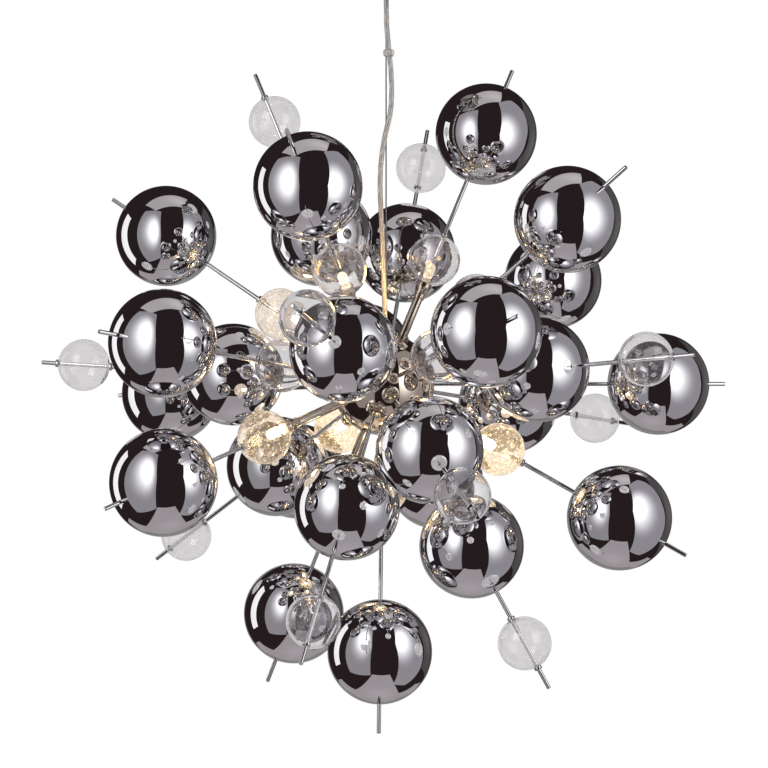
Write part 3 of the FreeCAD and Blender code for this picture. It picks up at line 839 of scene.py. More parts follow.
class SpreadTree(GeometryTree):
    """Sets a copy of one piece on every point, turned as the point's own rotation says."""

    ROTATION = "arm_rotation"

    def __init__(self) -> None:
        """Build the tree."""
        super().__init__("copies along the arms")
        self.input("Copied", "NodeSocketObject")
        self.input("Finish", "NodeSocketMaterial")
        self.input("Loose turn", "NodeSocketFloat")
        self.input("Seed", "NodeSocketInt")
        copied = self.node("GeometryNodeObjectInfo", {"Object": self.given("Copied")})
        rotation = self.node("GeometryNodeInputNamedAttribute", {"Name": self.ROTATION}, data_type="QUATERNION")
        spin = self.node(
            "FunctionNodeRandomValue", {3: self.given("Loose turn"), "Seed": self.given("Seed")}, data_type="FLOAT")
        about_z = self.node("FunctionNodeAxisAngleToRotation", {"Axis": (0, 0, 1), "Angle": spin.outputs[1]})
        turned = self.node(
            "FunctionNodeRotateRotation", {0: rotation.outputs[0], 1: about_z.outputs[0]}, rotation_space="LOCAL")
        copies = self.node("GeometryNodeInstanceOnPoints", {
            "Points": self.given("Geometry"), "Instance": copied.outputs["Geometry"],
            "Rotation": turned.outputs[0]})
        self.close(copies.outputs[0])

    def copies(self, copied: bpy.types.Mesh, places: Sequence[Matrix], finish: Finish, seed: int = 0) -> bpy.types.Mesh:
        """One mesh with a copy of a piece at every place.

        Args:
            copied: the piece's mesh, made along Z.
            places: where each copy goes.
            finish: what the copies are made of.
            seed: the fixed seed of the small turns about each arm, where 0 gives no turn.

        Returns:
            The copies as a plain mesh.
        """
        points = bpy.data.meshes.new("places")
        points.from_pydata([place.translation for place in places], [], [])
        rotations = points.attributes.new(self.ROTATION, "QUATERNION", "POINT")
        for entry, place in zip(rotations.data, places):
            entry.value = place.to_quaternion()
        prototype = add_object("prototype", copied)
        loose = 2 * math.pi if seed else 0.0
        made = self.run(points, {
            "Copied": prototype, "Finish": finish.material(), "Loose turn": loose, "Seed": seed})
        bpy.data.objects.remove(prototype)
        return made


class RopeTree(GeometryTree):
    """A straight wire rope whose strands twist about its line."""

    def __init__(self) -> None:
        """Build the tree."""
        super().__init__("wire rope")
        for name in ("Rope radius", "Groove", "Lay length", "Step"):
            self.input(name, "NodeSocketFloat")
        self.input("Strands", "NodeSocketInt")
        self.input("Sides", "NodeSocketInt")
        self.input("Finish", "NodeSocketMaterial")
        line = self.node("GeometryNodeMeshToCurve", {"Mesh": self.given("Geometry")})
        fine = self.node(
            "GeometryNodeResampleCurve", {"Curve": line.outputs[0], "Length": self.given("Step")}, mode="LENGTH")
        along = self.node("GeometryNodeSplineParameter").outputs["Length"]
        twist = self.maths("DIVIDE", self.maths("MULTIPLY", along, 2 * math.pi), self.given("Lay length"))
        tilted = self.node("GeometryNodeSetCurveTilt", {"Curve": fine.outputs[0], "Tilt": twist})
        circle = self.node("GeometryNodeCurvePrimitiveCircle", {
            "Resolution": self.given("Sides"), "Radius": self.given("Rope radius")})
        share = self.maths("DIVIDE", self.node("GeometryNodeInputIndex").outputs[0], self.given("Sides"))
        lobes = self.maths("MULTIPLY", self.maths("MULTIPLY", share, 2 * math.pi), self.given("Strands"))
        dip = self.maths("MULTIPLY", self.maths("SUBTRACT", 1.0, self.maths("COSINE", lobes)), self.given("Groove"))
        shrink = self.maths("SUBTRACT", 1.0, dip)
        place = self.node("GeometryNodeInputPosition").outputs[0]
        scaled = self.node("ShaderNodeVectorMath", {0: place, "Scale": shrink}, operation="SCALE")
        section = self.node("GeometryNodeSetPosition", {
            "Geometry": circle.outputs[0], "Position": scaled.outputs[0]})
        rope = self.node("GeometryNodeCurveToMesh", {
            "Curve": tilted.outputs[0], "Profile Curve": section.outputs[0], "Fill Caps": True})
        self.close(rope.outputs[0])


class KnurlTree(GeometryTree):
    """Fine ridges round a thumb screw's head, which points along X."""

    def __init__(self) -> None:
        """Build the tree."""
        super().__init__("knurled ridges")
        for name in ("Head radius", "Ridge size", "Ridge length"):
            self.input(name, "NodeSocketFloat")
        self.input("Ridges", "NodeSocketInt")
        self.input("Finish", "NodeSocketMaterial")
        circle = self.node("GeometryNodeCurvePrimitiveCircle", {
            "Resolution": self.given("Ridges"), "Radius": self.given("Head radius")})
        points = self.node("GeometryNodeCurveToPoints", {
            "Curve": circle.outputs[0], "Count": self.given("Ridges")}, mode="COUNT")
        size = self.node("ShaderNodeCombineXYZ", {
            0: self.given("Ridge size"), 1: self.given("Ridge length"), 2: self.given("Ridge size")})
        ridge = self.node("GeometryNodeMeshCube", {"Size": size.outputs[0]})
        copies = self.node("GeometryNodeInstanceOnPoints", {
            "Points": points.outputs["Points"], "Instance": ridge.outputs[0],
            "Rotation": points.outputs["Rotation"]})
        turned = self.node("GeometryNodeTransform", {
            "Geometry": copies.outputs[0], "Rotation": (0, QUARTER, 0)})
        join = self.node("GeometryNodeJoinGeometry")
        self.tree.links.new(self.given("Geometry"), join.inputs[0])
        self.tree.links.new(turned.outputs[0], join.inputs[0])
        self.close(join.outputs[0])


@dataclass
class Glasswork:
    """The blown glass balls and globes."""

    spread: SpreadTree
    sides: int = 96
    steps: tuple[int, int] = (56, 10)
    clear_sides: int = 64
    clear_steps: tuple[int, int] = (32, 24)
    clear_seed: int = 5
    chrome_seed: int = 11
    mouth_radius: float = 6.0 * MM
    bore: float = ROD_RADIUS + FIT

    def ball(self, radius: float, wall: float, lower: float, steps: tuple[int, int], sides: int) -> bpy.types.Mesh:
        """A thin hollow ball with a hole at each pole.

        Args:
            radius: the outer radius.
            wall: the glass's thickness.
            lower: the radius of the lower hole.
            steps: the number of rings outside and inside.
            sides: the number of sides round.

        Returns:
            The ball's mesh about its centre.
        """
        within = radius - wall
        outside = arc(radius, -math.acos(lower / radius), math.acos(self.bore / radius), steps[0])
        inside = arc(within, math.acos(self.bore / within), -math.acos(lower / within), steps[1])
        return lathe(outside + inside, sides)

    def chrome(self) -> bpy.types.Mesh:
        """The large mirrored ball."""
        return self.ball(CHROME_RADIUS, CHROME_WALL, self.bore, self.steps, self.sides)

    def clear(self) -> bpy.types.Mesh:
        """The small clear ball."""
        return self.ball(CLEAR_RADIUS, CLEAR_WALL, self.bore, self.clear_steps, self.clear_sides)

    def globe(self) -> bpy.types.Mesh:
        """The clear globe round a bulb, with a wider hole where it meets its cup."""
        return self.ball(CLEAR_RADIUS, CLEAR_WALL, self.mouth_radius, self.clear_steps, self.clear_sides)

    def build(self, outer: Sequence[Arm], inner: Sequence[Arm]) -> None:
        """Make the balls on the plain arms.

        Args:
            outer: the plain arms with the mirrored ball near the tip.
            inner: the plain arms with the mirrored ball near the hub.
        """
        pendant = Body.PENDANT.value
        places = [arm.place(arm.clear) for arm in (*outer, *inner)]
        clear = self.spread.copies(self.clear(), places, CLEAR, self.clear_seed)
        piece("clear_glass_balls", clear, CLEAR, pendant, "clear_balls")
        for name, node, arms in (("outer_mirror_balls", "outer_chrome_balls", outer),
                                 ("inner_mirror_balls", "inner_chrome_balls", inner)):
            places = [arm.place(arm.chrome) for arm in arms]
            balls = self.spread.copies(self.chrome(), places, MIRROR, self.chrome_seed)
            piece(name, balls, MIRROR, pendant, node)


@dataclass
class Rodwork:
    """The chromed rods, collars, stems and cups."""

    spread: SpreadTree
    rod_sides: int = 20
    tip_round: float = 0.6 * MM
    tip_steps: int = 4
    collar_radius: float = 3.8 * MM
    collar_length: float = 3.0 * MM
    collar_round: float = 0.9 * MM
    collar_steps: int = 5
    collar_sides: int = 28
    stem_radius: float = 4.5 * MM
    stem_bore: float = 3.0 * MM
    stem_sides: int = 32
    cup_length: float = 17.0 * MM
    cup_mouth_radius: float = 7.5 * MM
    cup_neck_radius: float = 5.4 * MM
    cup_neck_length: float = 4.0 * MM
    cup_wall: float = 1.0 * MM
    cup_ease: float = 0.35 * MM
    cup_ease_steps: int = 3
    cup_sides: int = 40
    flare_steps: int = 12
    holder_length: float = 11.0 * MM
    holder_radius: float = 5.6 * MM
    spigot: float = 1.4 * MM
    rod_past_globe_centre: float = 3.0 * MM

    def rod(self, start: float) -> bpy.types.Mesh:
        """A rod from a distance out to the tip, softly rounded at its end.

        Args:
            start: the distance at which the rod starts.

        Returns:
            The rod's mesh, along Z.
        """
        corner = (ROD_RADIUS - self.tip_round, TIP_REACH - self.tip_round)
        tip = arc(self.tip_round, 0.0, QUARTER, self.tip_steps, corner)
        return lathe([(0.0, start), (ROD_RADIUS, start), *tip, (0.0, TIP_REACH)], self.rod_sides, ring=False)

    def collar(self) -> bpy.types.Mesh:
        """A small ring with rounded edges, standing on Z zero.

        Returns:
            The collar's mesh, along Z.
        """
        soft, radius = self.collar_round, self.collar_radius
        low = arc(soft, -QUARTER, 0.0, self.collar_steps, (radius - soft, soft))
        high = arc(soft, 0.0, QUARTER, self.collar_steps, (radius - soft, self.collar_length - soft))
        bore = ROD_RADIUS + FIT
        return lathe([(bore, 0.0), *low, *high, (bore, self.collar_length)], self.collar_sides)

    def mouth(self, globe: float) -> float:
        """Distance of a cup's mouth, which stands against its globe."""
        inner = self.cup_mouth_radius - self.cup_wall
        return globe - math.sqrt(CLEAR_RADIUS ** 2 - inner ** 2) - SEAT_GAP

    def stem_end(self, globe: float) -> float:
        """Distance at which a stem stops, inside its cup."""
        return self.mouth(globe) + self.spigot - self.holder_length

    def stem(self, globe: float) -> bpy.types.Mesh:
        """The tube from the hub to a cup.

        Args:
            globe: how far out the globe's centre sits.

        Returns:
            The stem's mesh, along Z.
        """
        start, end = HUB_RADIUS - SCREW_DEPTH, self.stem_end(globe)
        outline = [(self.stem_bore, start), (self.stem_radius, start), (self.stem_radius, end), (self.stem_bore, end)]
        return lathe(outline, self.stem_sides)

    def cup(self, globe: float) -> bpy.types.Mesh:
        """The flared cup on a stem's end, with its edges eased.

        Args:
            globe: how far out the globe's centre sits.

        Returns:
            The cup's mesh, along Z.
        """
        mouth, floor = self.mouth(globe), self.stem_end(globe)
        base = mouth - self.cup_length
        neck_top, rim = base + self.cup_neck_length, mouth - self.cup_neck_length
        grow = self.cup_mouth_radius - self.cup_neck_radius
        shares = [step / self.flare_steps for step in range(self.flare_steps + 1)]
        flare = [(self.cup_neck_radius + grow * eased(share), neck_top + (rim - neck_top) * share) for share in shares]
        ease = self.cup_ease
        low = arc(ease, -QUARTER, 0.0, self.cup_ease_steps, (self.cup_neck_radius - ease, base + ease))
        high = arc(ease, 0.0, QUARTER, self.cup_ease_steps, (self.cup_mouth_radius - ease, mouth - ease))
        inner = self.cup_mouth_radius - self.cup_wall
        hole, seat = self.stem_radius + FIT, self.holder_radius + FIT
        hollow = [(inner, mouth), (inner, rim), (seat, floor), (hole, floor)]
        return lathe([(hole, base), *low, *flare, *high, *hollow], self.cup_sides)

    def build(self, plain: Sequence[Arm], lamps: Sequence[Arm]) -> None:
        """Make every rod, collar, stem and cup that stays on the pendant.

        Args:
            plain: the arms without a lamp.
            lamps: the arms with one.
        """
        start = HUB_RADIUS - SCREW_DEPTH
        pendant = Body.PENDANT.value
        rods = self.spread.copies(self.rod(start), [arm.place() for arm in plain], CHROME)
        piece("steel_rods", rods, CHROME, pendant, "plain_rods")
        feet = [arm.place(arm.clear + offset) for arm in plain
                for offset in (-CLEAR_RADIUS - self.collar_length, CLEAR_RADIUS)]
        piece("rod_collars", self.spread.copies(self.collar(), feet, CHROME), CHROME, pendant, "ball_collars")
        for name, node, maker in (("stem_tubes", "lamp_stems", self.stem), ("globe_cups", "lamp_cups", self.cup)):
            whole = joined(*((maker(arm.clear), arm.place()) for arm in lamps))
            piece(name, closed_mesh(whole), STEM_CHROME_PAINTED_WARM, pendant, node)


@dataclass
class Lamp:
    """One lamp arm's head and its bulb."""

    number: int
    arm: Arm
    glass: Glasswork
    rods: Rodwork
    brightness: float = 1.0
    filament_glow: float = 40.0
    bulb_glow: float = 9.0
    painted_globe_glow: float = 1.3
    painted_glow_globe_tint: Colour = (0.86, 0.79, 0.70)
    base_width: float = 8.0 * MM
    base_depth: float = 4.0 * MM
    base_length: float = 6.0 * MM
    bulb_radius: float = 4.75 * MM
    bulb_length: float = 19.5 * MM
    bulb_wall: float = 0.6 * MM
    glass_sides: int = 32
    pinch_power: float = 0.45
    pinch_ease: float = 0.3 * MM
    swell_length: float = 3.0 * MM
    swell_steps: int = 6
    hollow_rise: float = 2.1 * MM
    hollow_share: float = 0.55
    dome_steps: int = 8
    dome_step: float = 11.5
    filament_radius: float = 0.22 * MM
    filament_sides: int = 8
    filament_share: float = 0.62
    filament_turns: int = 9
    turn_steps: int = 12
    coil_radius: float = 0.75 * MM
    lead_spacing: float = 3.2 * MM
    pin_radius: float = 0.35 * MM
    pin_tip_radius: float = 0.21 * MM
    pin_taper: float = 0.3 * MM
    pin_length: float = 6.0 * MM
    pin_hold: float = 1.0 * MM
    pin_spacing: float = 4.0 * MM
    pin_sides: int = 12

    def head(self) -> None:
        """The globe, its rod with two collars, and the mirrored ball."""
        name, body = f"lamp_{self.number}", f"lamp_{self.number}_head"
        # Painted glow: the globe's glass gets a warmer tint and a warm painted glow as its lamp is brighter, standing
        # for the bulb's light in it.
        tint = tuple(cold + (warm - cold) * self.brightness for cold, warm in zip(CLEAR.tint, self.painted_glow_globe_tint))
        glowing = ClearGlass(f"globe glass {self.brightness:g}", "clear_glass", tint=tint, wave=0.3, ripple=85.0,
                             glow=self.painted_globe_glow * self.brightness, warm=(1.0, 0.74, 0.42), painted_glow_dim_share=0.06,
                             painted_spark_edge=0.64)
        parts = (
            ("glass_globe", "globe", self.glass.globe(), self.arm.clear, glowing),
            ("mirror_ball", "ball", self.glass.chrome(), self.arm.chrome, MIRROR),
        )
        for suffix, node, mesh, distance, finish in parts:
            mesh.transform(self.arm.place(distance))
            piece(f"{name}_{suffix}", mesh, finish, body, f"{name}_{node}")
        seat = math.sqrt((CLEAR_RADIUS - CLEAR_WALL) ** 2 - self.rods.collar_radius ** 2)
        inside = self.arm.clear + seat - SEAT_GAP - self.rods.collar_length
        rod = self.rods.rod(self.arm.clear + self.rods.rod_past_globe_centre)
        collars = [(self.rods.collar(), self.arm.place(distance))
                   for distance in (self.arm.clear + CLEAR_RADIUS, inside)]
        whole = joined((rod, self.arm.place()), *collars)
        piece(f"{name}_steel_rod", closed_mesh(whole), CHROME, body, f"{name}_rod")

    def section(self, share: float, height: float, inset: float) -> list[Place]:
        """One ring of the bulb's glass.

        Args:
            share: 0 at the flat pinched base and 1 where the glass is round.
            height: the ring's height.
            inset: how far the ring lies inside the outer surface.

        Returns:
            The ring's points.
        """
        half_x = self.base_width / 2 + (self.bulb_radius - self.base_width / 2) * share - inset
        half_y = self.base_depth / 2 + (self.bulb_radius - self.base_depth / 2) * share - inset
        power = self.pinch_power + (1 - self.pinch_power) * share
        return soft_ring(half_x, half_y, height, power, self.glass_sides)

    def envelope(self, base: float) -> bpy.types.Mesh:
        """The bulb's glass: a flat pinch that swells into a round capsule with a domed tip, hollow above the pinch.

        Args:
            base: the height of the pinch's lower end.

        Returns:
            The glass's mesh, along Z.
        """
        form = bmesh.new()
        for rings, inward in ((self._outer_rings(base), False), (self._inner_rings(base), True)):
            skin(form, [[form.verts.new(point) for point in ring] for ring in rings], inward)
        return smooth_mesh(form)

    def _outer_rings(self, base: float) -> list[list[Place]]:
        """Rings of the outer surface from the base to the tip.

        Args:
            base: the height of the pinch's lower end.

        Returns:
            The rings in order.
        """
        shoulder, ease = base + self.base_length, self.pinch_ease
        rings = [self.section(0.0, base, ease), self.section(0.0, base + ease, 0.0),
                 self.section(0.0, shoulder - self.swell_length / 2, 0.0)]
        for step in range(1, self.swell_steps + 1):
            share = step / self.swell_steps
            rings.append(self.section(eased(share), shoulder + self.swell_length * (share - 0.5), 0.0))
        return rings + self._dome(base, self.bulb_radius, self.bulb_length)

    def _inner_rings(self, base: float) -> list[list[Place]]:
        """Rings of the inner surface, from just above the pinch to the tip.

        Args:
            base: the height of the pinch's lower end.

        Returns:
            The rings in order.
        """
        wall = self.bulb_wall
        floor = base + self.base_length + self.hollow_rise
        rings = [self.section(1.0, floor, self.bulb_radius * self.hollow_share), self.section(1.0, floor + wall, wall)]
        return rings + self._dome(base, self.bulb_radius - wall, self.bulb_length - wall)

    def _dome(self, base: float, radius: float, length: float) -> list[list[Place]]:
        """Rings of a domed tip.

        Args:
            base: the height of the pinch's lower end.
            radius: the dome's radius.
            length: how high the tip stands above the base.

        Returns:
            The rings in order.
        """
        rings = []
        for step in range(self.dome_steps):
            angle = math.radians(self.dome_step * step)
            height = base + length - radius + radius * math.sin(angle)
            rings.append(self.section(1.0, height, self.bulb_radius - radius * math.cos(angle)))
        return rings

    def filament(self, base: float) -> bpy.types.Mesh:
        """The coiled filament, held across the capsule by its two lead wires.

        Args:
            base: the height of the pinch's lower end.

        Returns:
            The filament's mesh, along Z.
        """
        foot, top = base + self.base_length, base + self.bulb_length * self.filament_share
        half, middle, coil = self.lead_spacing / 2, (foot + top) / 2, self.coil_radius
        path = [Vector((-half, 0, foot)), Vector((-half, 0, middle)), Vector((-half, 0, top - coil))]
        steps = self.filament_turns * self.turn_steps
        for step in range(steps + 1):
            turn = 2 * math.pi * step / self.turn_steps
            path.append(Vector((2 * half * step / steps - half, coil * math.sin(turn), top - coil * math.cos(turn))))
        path += [Vector((half, 0, middle)), Vector((half, 0, foot))]
        return tube(path, self.filament_radius, self.filament_sides)

    def pins(self, base: float) -> bpy.types.Mesh:
        """The two pins below the pinch.

        Args:
            base: the height of the pinch's lower end.

        Returns:
            The pins' mesh, along Z.
        """
        foot, top = base - self.pin_length, base + self.pin_hold
        outline = [(0.0, foot), (self.pin_tip_radius, foot), (self.pin_radius, foot + self.pin_taper),
                   (self.pin_radius, top), (0.0, top)]
        places = [Matrix.Translation((side * self.pin_spacing / 2, 0, 0)) for side in (-1, 1)]
        return closed_mesh(joined(*((lathe(outline, self.pin_sides, ring=False), place) for place in places)))

    def bulb(self) -> None:
        """The capsule bulb: glass, filament and pins."""
        name = f"lamp_{self.number}_bulb"
        base = self.rods.mouth(self.arm.clear) + self.rods.spigot + SEAT_GAP
        share = self.brightness
        wire = Glow(f"glowing filament {share:g}", "bulb_glass", strength=self.filament_glow * share)
        glass = ClearGlass(f"bulb glass {share:g}", "bulb_glass", tint=(0.99, 0.985, 0.97), wave=0.02,
                           glow=self.bulb_glow * share, warm=(1.0, 0.80, 0.50), painted_glow_dim_share=0.6)
        for suffix, mesh, finish in (("capsule", self.envelope(base), glass),
                                     ("filament", self.filament(base), wire), ("pins", self.pins(base), NICKEL)):
            mesh.transform(self.arm.place())
            piece(f"{name}_{suffix}", mesh, finish, name, name)

    def build(self) -> None:
        """Make the head and the bulb."""
        self.head()
        self.bulb()


@dataclass
class Hub:
    """The hub ball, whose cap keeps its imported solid."""

    sides: int = 128
    outer_steps: int = 72
    inner_steps: int = 24
    opening: float = 12.05 * MM

    def ball(self) -> bpy.types.Mesh:
        """The hollow cast ball, flat on top where the cap sits.

        Returns:
            The ball's mesh, in place.
        """
        top = math.acos(CAP_RADIUS / HUB_RADIUS)
        seat = HUB_RADIUS * math.sin(top)
        within = HUB_RADIUS - HUB_WALL
        outside = arc(HUB_RADIUS, -QUARTER, top, self.outer_steps)
        inside = arc(within, math.acos(self.opening / within), -QUARTER, self.inner_steps)
        outline = [(0.0, -HUB_RADIUS), *outside[1:], (self.opening, seat), *inside[:-1], (0.0, -within)]
        mesh = lathe(outline, self.sides, ring=False)
        mesh.transform(Matrix.Translation(HUB_CENTRE))
        return mesh

    def build(self) -> None:
        """Make the ball."""
        piece("polished_hub", self.ball(), HUB_CHROME_PAINTED_WARM, Body.PENDANT.value, "hub_ball")


@dataclass
class Suspension:
    """The wire rope and the power cable with its tinned cores and clip."""

    wire_radius: float = 0.75 * MM
    strands: int = 6
    groove: float = 0.09
    lay_length: float = 9.0 * MM
    rope_step: float = 0.75 * MM
    rope_sides: int = 30
    cable_radius: float = 2.5 * MM
    core_radius: float = 0.85 * MM
    core_offset: float = 0.95 * MM
    core_pitch: float = 34 * MM
    core_sides: int = 12
    cable_length: float = 390.4 * MM
    route_steps: int = 12
    route_order: int = 3
    jacket_steps: int = 6
    clip_rings: int = 7
    clip_sides: int = 40
    clip_narrowing: float = 0.22
    clip_power: float = 0.75

    def wire(self) -> None:
        """The wire rope between the eye and the stop."""
        low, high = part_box("suspension_wire")
        middle = (low + high) / 2
        line = bpy.data.meshes.new("line")
        line.from_pydata([(middle.x, middle.y, low.z), (middle.x, middle.y, high.z)], [(0, 1)], [])
        mesh = RopeTree().run(line, {
            "Rope radius": self.wire_radius, "Groove": self.groove, "Lay length": self.lay_length,
            "Step": self.rope_step, "Strands": self.strands, "Sides": self.rope_sides,
            "Finish": WIRE_STEEL.material()})
        for face in mesh.polygons:
            face.use_smooth = True
        piece("wire_rope", mesh, WIRE_STEEL, Body.PENDANT.value, "suspension_wire")

    def route(self) -> bpy.types.Curve:
        """The cable's line, a smooth curve on the route's points.

        Returns:
            The curve, without a thickness.
        """
        curve = bpy.data.curves.new("cable_line", "CURVE")
        curve.dimensions = "3D"
        curve.resolution_u = self.route_steps
        spline = curve.splines.new("NURBS")
        spline.points.add(len(CABLE_ROUTE) - 1)
        for point, (x, y, height) in zip(spline.points, CABLE_ROUTE):
            point.co = (x * MM, y * MM, HUB_CENTRE.z + height * MM, 1.0)
        spline.order_u = self.route_order
        spline.use_endpoint_u = True
        return curve

    def line(self) -> list[Vector]:
        """The points of the cable's line, read from its smooth curve.

        Returns:
            The points from the top down.
        """
        holder = add_object("cable_reading", self.route())
        depsgraph = bpy.context.evaluated_depsgraph_get()
        mesh = bpy.data.meshes.new_from_object(holder.evaluated_get(depsgraph), depsgraph=depsgraph)
        points = [vertex.co.copy() for vertex in mesh.vertices]
        bpy.data.objects.remove(holder)
        bpy.data.meshes.remove(mesh)
        return points

    def core(self, line: Sequence[Vector], turn: float) -> bpy.types.Mesh:
        """One tinned core, laid in a slow twist inside the cable.

        Args:
            line: the cable's centre line.
            turn: the angle at which the core starts.

        Returns:
            The core's mesh.
        """
        path, run, before = [], 0.0, line[0]
        for point, across, side in frames(line):
            run += (point - before).length
            before = point
            angle = turn + 2 * math.pi * run / self.core_pitch
            path.append(point + (across * math.cos(angle) + side * math.sin(angle)) * self.core_offset)
        return tube(path, self.core_radius, self.core_sides)

    def cable(self) -> None:
        """The clear cable, its cores and its clip."""
        pendant = Body.PENDANT.value
        curve = self.route()
        curve.bevel_depth = self.cable_radius
        curve.bevel_resolution = self.jacket_steps
        curve.use_fill_caps = True
        curve.materials.append(CABLE_PLASTIC.material())
        jacket = add_object("clear_cable", curve)
        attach(jacket, pendant)
        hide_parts("power_cable")
        line = self.line()
        cores = [piece(f"cable_core_{number + 1}", self.core(line, math.pi * number), STRANDS, pendant)
                 for number in range(2)]
        clip = self.clip()

    def clip(self) -> bpy.types.Object:
        """The small clear clip that ties the cable to the wire, a flattened ring with soft edges.

        Returns:
            The clip's piece.
        """
        low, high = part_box("cable_clip")
        middle, half = (low + high) / 2, (high - low) / 2
        form = bmesh.new()
        rings = []
        for step in range(self.clip_rings):
            rise = math.radians(180 * step / (self.clip_rings - 1) - 90)
            reach = 1 - self.clip_narrowing * (1 - math.cos(rise))
            height = middle.z + half.z * math.sin(rise)
            level = soft_ring(half.x * reach, half.y * reach, height, self.clip_power, self.clip_sides)
            rings.append([form.verts.new((middle.x + x, middle.y + y, z)) for x, y, z in level])
        skin(form, rings)
        return piece("cable_tie_clip", closed_mesh(form), CLIP_PLASTIC, Body.PENDANT.value, "cable_clip")

    def build(self) -> None:
        """Make the cable, then the wire."""
        self.cable()
        self.wire()


@dataclass
class Canopy:
    """The chromed ceiling cup with its outlet bush and thumb screws."""

    radius: float = 70 * MM
    depth: float = 52 * MM
    wall: float = 1.2 * MM
    edge_round: float = 6 * MM
    edge_steps: int = 12
    rim_ease: float = 0.3 * MM
    sides: int = 144
    bush_bore: float = 13 * MM
    bush_wall: float = 1.5 * MM
    bush_lip: float = 2 * MM
    lip_thickness: float = 1.8 * MM
    lip_soft_share: float = 0.45
    lip_steps: int = 8
    bore_steps: int = 5
    bush_height: float = 5 * MM
    bush_sides: int = 72
    screw_radius: float = 2 * MM
    screw_ease: float = 0.5 * MM
    screw_sides: int = 40
    screw_inner: float = 7 * MM
    head_radius: float = 4 * MM
    head_length: float = 4 * MM
    screw_drop: float = 10 * MM
    dish_edge: float = 1.2 * MM
    dish_slope: float = 0.3 * MM
    knurl_depth: float = 0.35 * MM
    ridge_size: float = 0.5 * MM
    ridges: int = 26

    def cup(self) -> bpy.types.Mesh:
        """The deep drawn cup, open at the ceiling.

        Returns:
            The cup's mesh, in place.
        """
        low, inner_low = -self.depth, -self.depth + self.wall
        hole = self.bush_bore + self.bush_wall + FIT
        soft, inner_soft = self.edge_round, self.edge_round - self.wall
        inner = self.radius - self.wall
        lip = self.rim_ease
        outside = arc(soft, -QUARTER, 0.0, self.edge_steps, (self.radius - soft, low + soft))
        inside = arc(inner_soft, 0.0, -QUARTER, self.edge_steps, (inner - inner_soft, inner_low + inner_soft))
        outline = [(hole, low), *outside, (self.radius, -lip), (self.radius - lip, 0.0), (inner, 0.0),
                   *inside, (hole, inner_low)]
        return lathe(outline, self.sides)

    def bush(self) -> bpy.types.Mesh:
        """The smooth bush that keeps the cable off the cup's edge.

        Returns:
            The bush's mesh, in place.
        """
        outer = self.bush_bore + self.bush_wall
        lip, low = outer + self.bush_lip, -self.depth - self.lip_thickness
        soft = self.lip_thickness * self.lip_soft_share
        edge = arc(soft, -QUARTER, QUARTER, self.lip_steps, (lip - soft, low + self.lip_thickness / 2))
        edge = [(r, low + (z - edge[0][1]) * self.lip_thickness / (2 * soft)) for r, z in edge]
        bore = arc(soft, 2 * QUARTER, 3 * QUARTER, self.bore_steps, (self.bush_bore + soft, low + soft))
        top = -self.depth + self.bush_height
        return lathe([*bore, *edge, (outer, -self.depth), (outer, top), (self.bush_bore, top)], self.bush_sides)

    def screw(self) -> bpy.types.Mesh:
        """A thumb screw along X, seen from the cup's right, with a knurled head.

        Returns:
            The screw's mesh, level with the ceiling.
        """
        radius, head = self.screw_radius, self.head_radius - self.knurl_depth
        ease, tip, end = self.screw_ease, self.radius - self.screw_inner, self.radius + self.head_length
        dish = head - self.dish_edge
        outline = [(0.0, tip), (radius - ease, tip), (radius, tip + ease), (radius, self.radius),
                   (head - ease, self.radius), (head, self.radius + ease), (head, end - ease), (head - ease, end),
                   (dish, end), (dish - self.dish_slope, end - ease), (0.0, end - ease)]
        shank = lathe(outline, self.screw_sides, ring=False)
        ring = KnurlTree().run(bpy.data.meshes.new("none"), {
            "Head radius": head, "Ridge size": self.ridge_size, "Ridge length": self.head_length - 2 * ease,
            "Ridges": self.ridges, "Finish": CHROME.material()})
        middle = Matrix.Translation((self.radius + self.head_length / 2, 0, 0))
        return plain_mesh(joined((shank, Matrix.Rotation(QUARTER, 4, "Y")), (ring, middle)))

    def screws(self) -> bpy.types.Mesh:
        """Both thumb screws."""
        drop = Matrix.Translation((0, 0, -self.screw_drop))
        return plain_mesh(joined(*((self.screw(), drop @ Matrix.Rotation(turn, 4, "Z")) for turn in (0.0, math.pi))))

    def build(self) -> None:
        """Make the cup, the bush and the screws."""
        canopy = Body.CANOPY.value
        piece("ceiling_cup", self.cup(), CHROME, canopy, "canopy")
        piece("outlet_bush", self.bush(), WHITE_PLASTIC, canopy, "canopy_bush")
        piece("thumb_screws", self.screws(), CHROME, canopy, "canopy_screws")


@dataclass
class KeptNodes:
    """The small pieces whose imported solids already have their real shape."""

    finishes: dict[str, Finish] = field(default_factory=lambda: {
        "ceiling_plate": ZINC, "ceiling_eye": ZINC, "eye_nut": ZINC, "transformer": WHITE_PLASTIC,
        "transformer_screws": ZINC, "terminal_block": WHITE_PLASTIC, "shackle_bow": ZINC, "shackle_pin": ZINC,
        "wire_eye": ZINC, "wire_stop": ZINC, "hub_cap": HUB_CHROME_PAINTED_WARM, "hub_terminal": CERAMIC,
        "lamp_holders": CERAMIC})

    def build(self) -> None:
        """Give each one its finish."""
        for name, finish in self.finishes.items():
            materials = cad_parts[name].data.materials
            if not materials:
                materials.append(finish.material())
            for number in range(len(materials)):
                materials[number] = finish.material()
            LOG.info("%s: %s", name, finish.name)


@dataclass(frozen=True)
class Card:
    """A flat light or card of the studio, which shows only in reflections.

    Its outline and its bright spot are given in the card's own two coordinates.
    """

    name: str
    outline: tuple[Point, ...]
    edge: Colour
    centre: Colour
    hot: Point = (0.0, 0.0)
    reach: Point = (1.0, 1.0)

    def corner(self, point: Point) -> Vector:
        """Where a point of the outline lies, from the hub's centre."""
        raise NotImplementedError


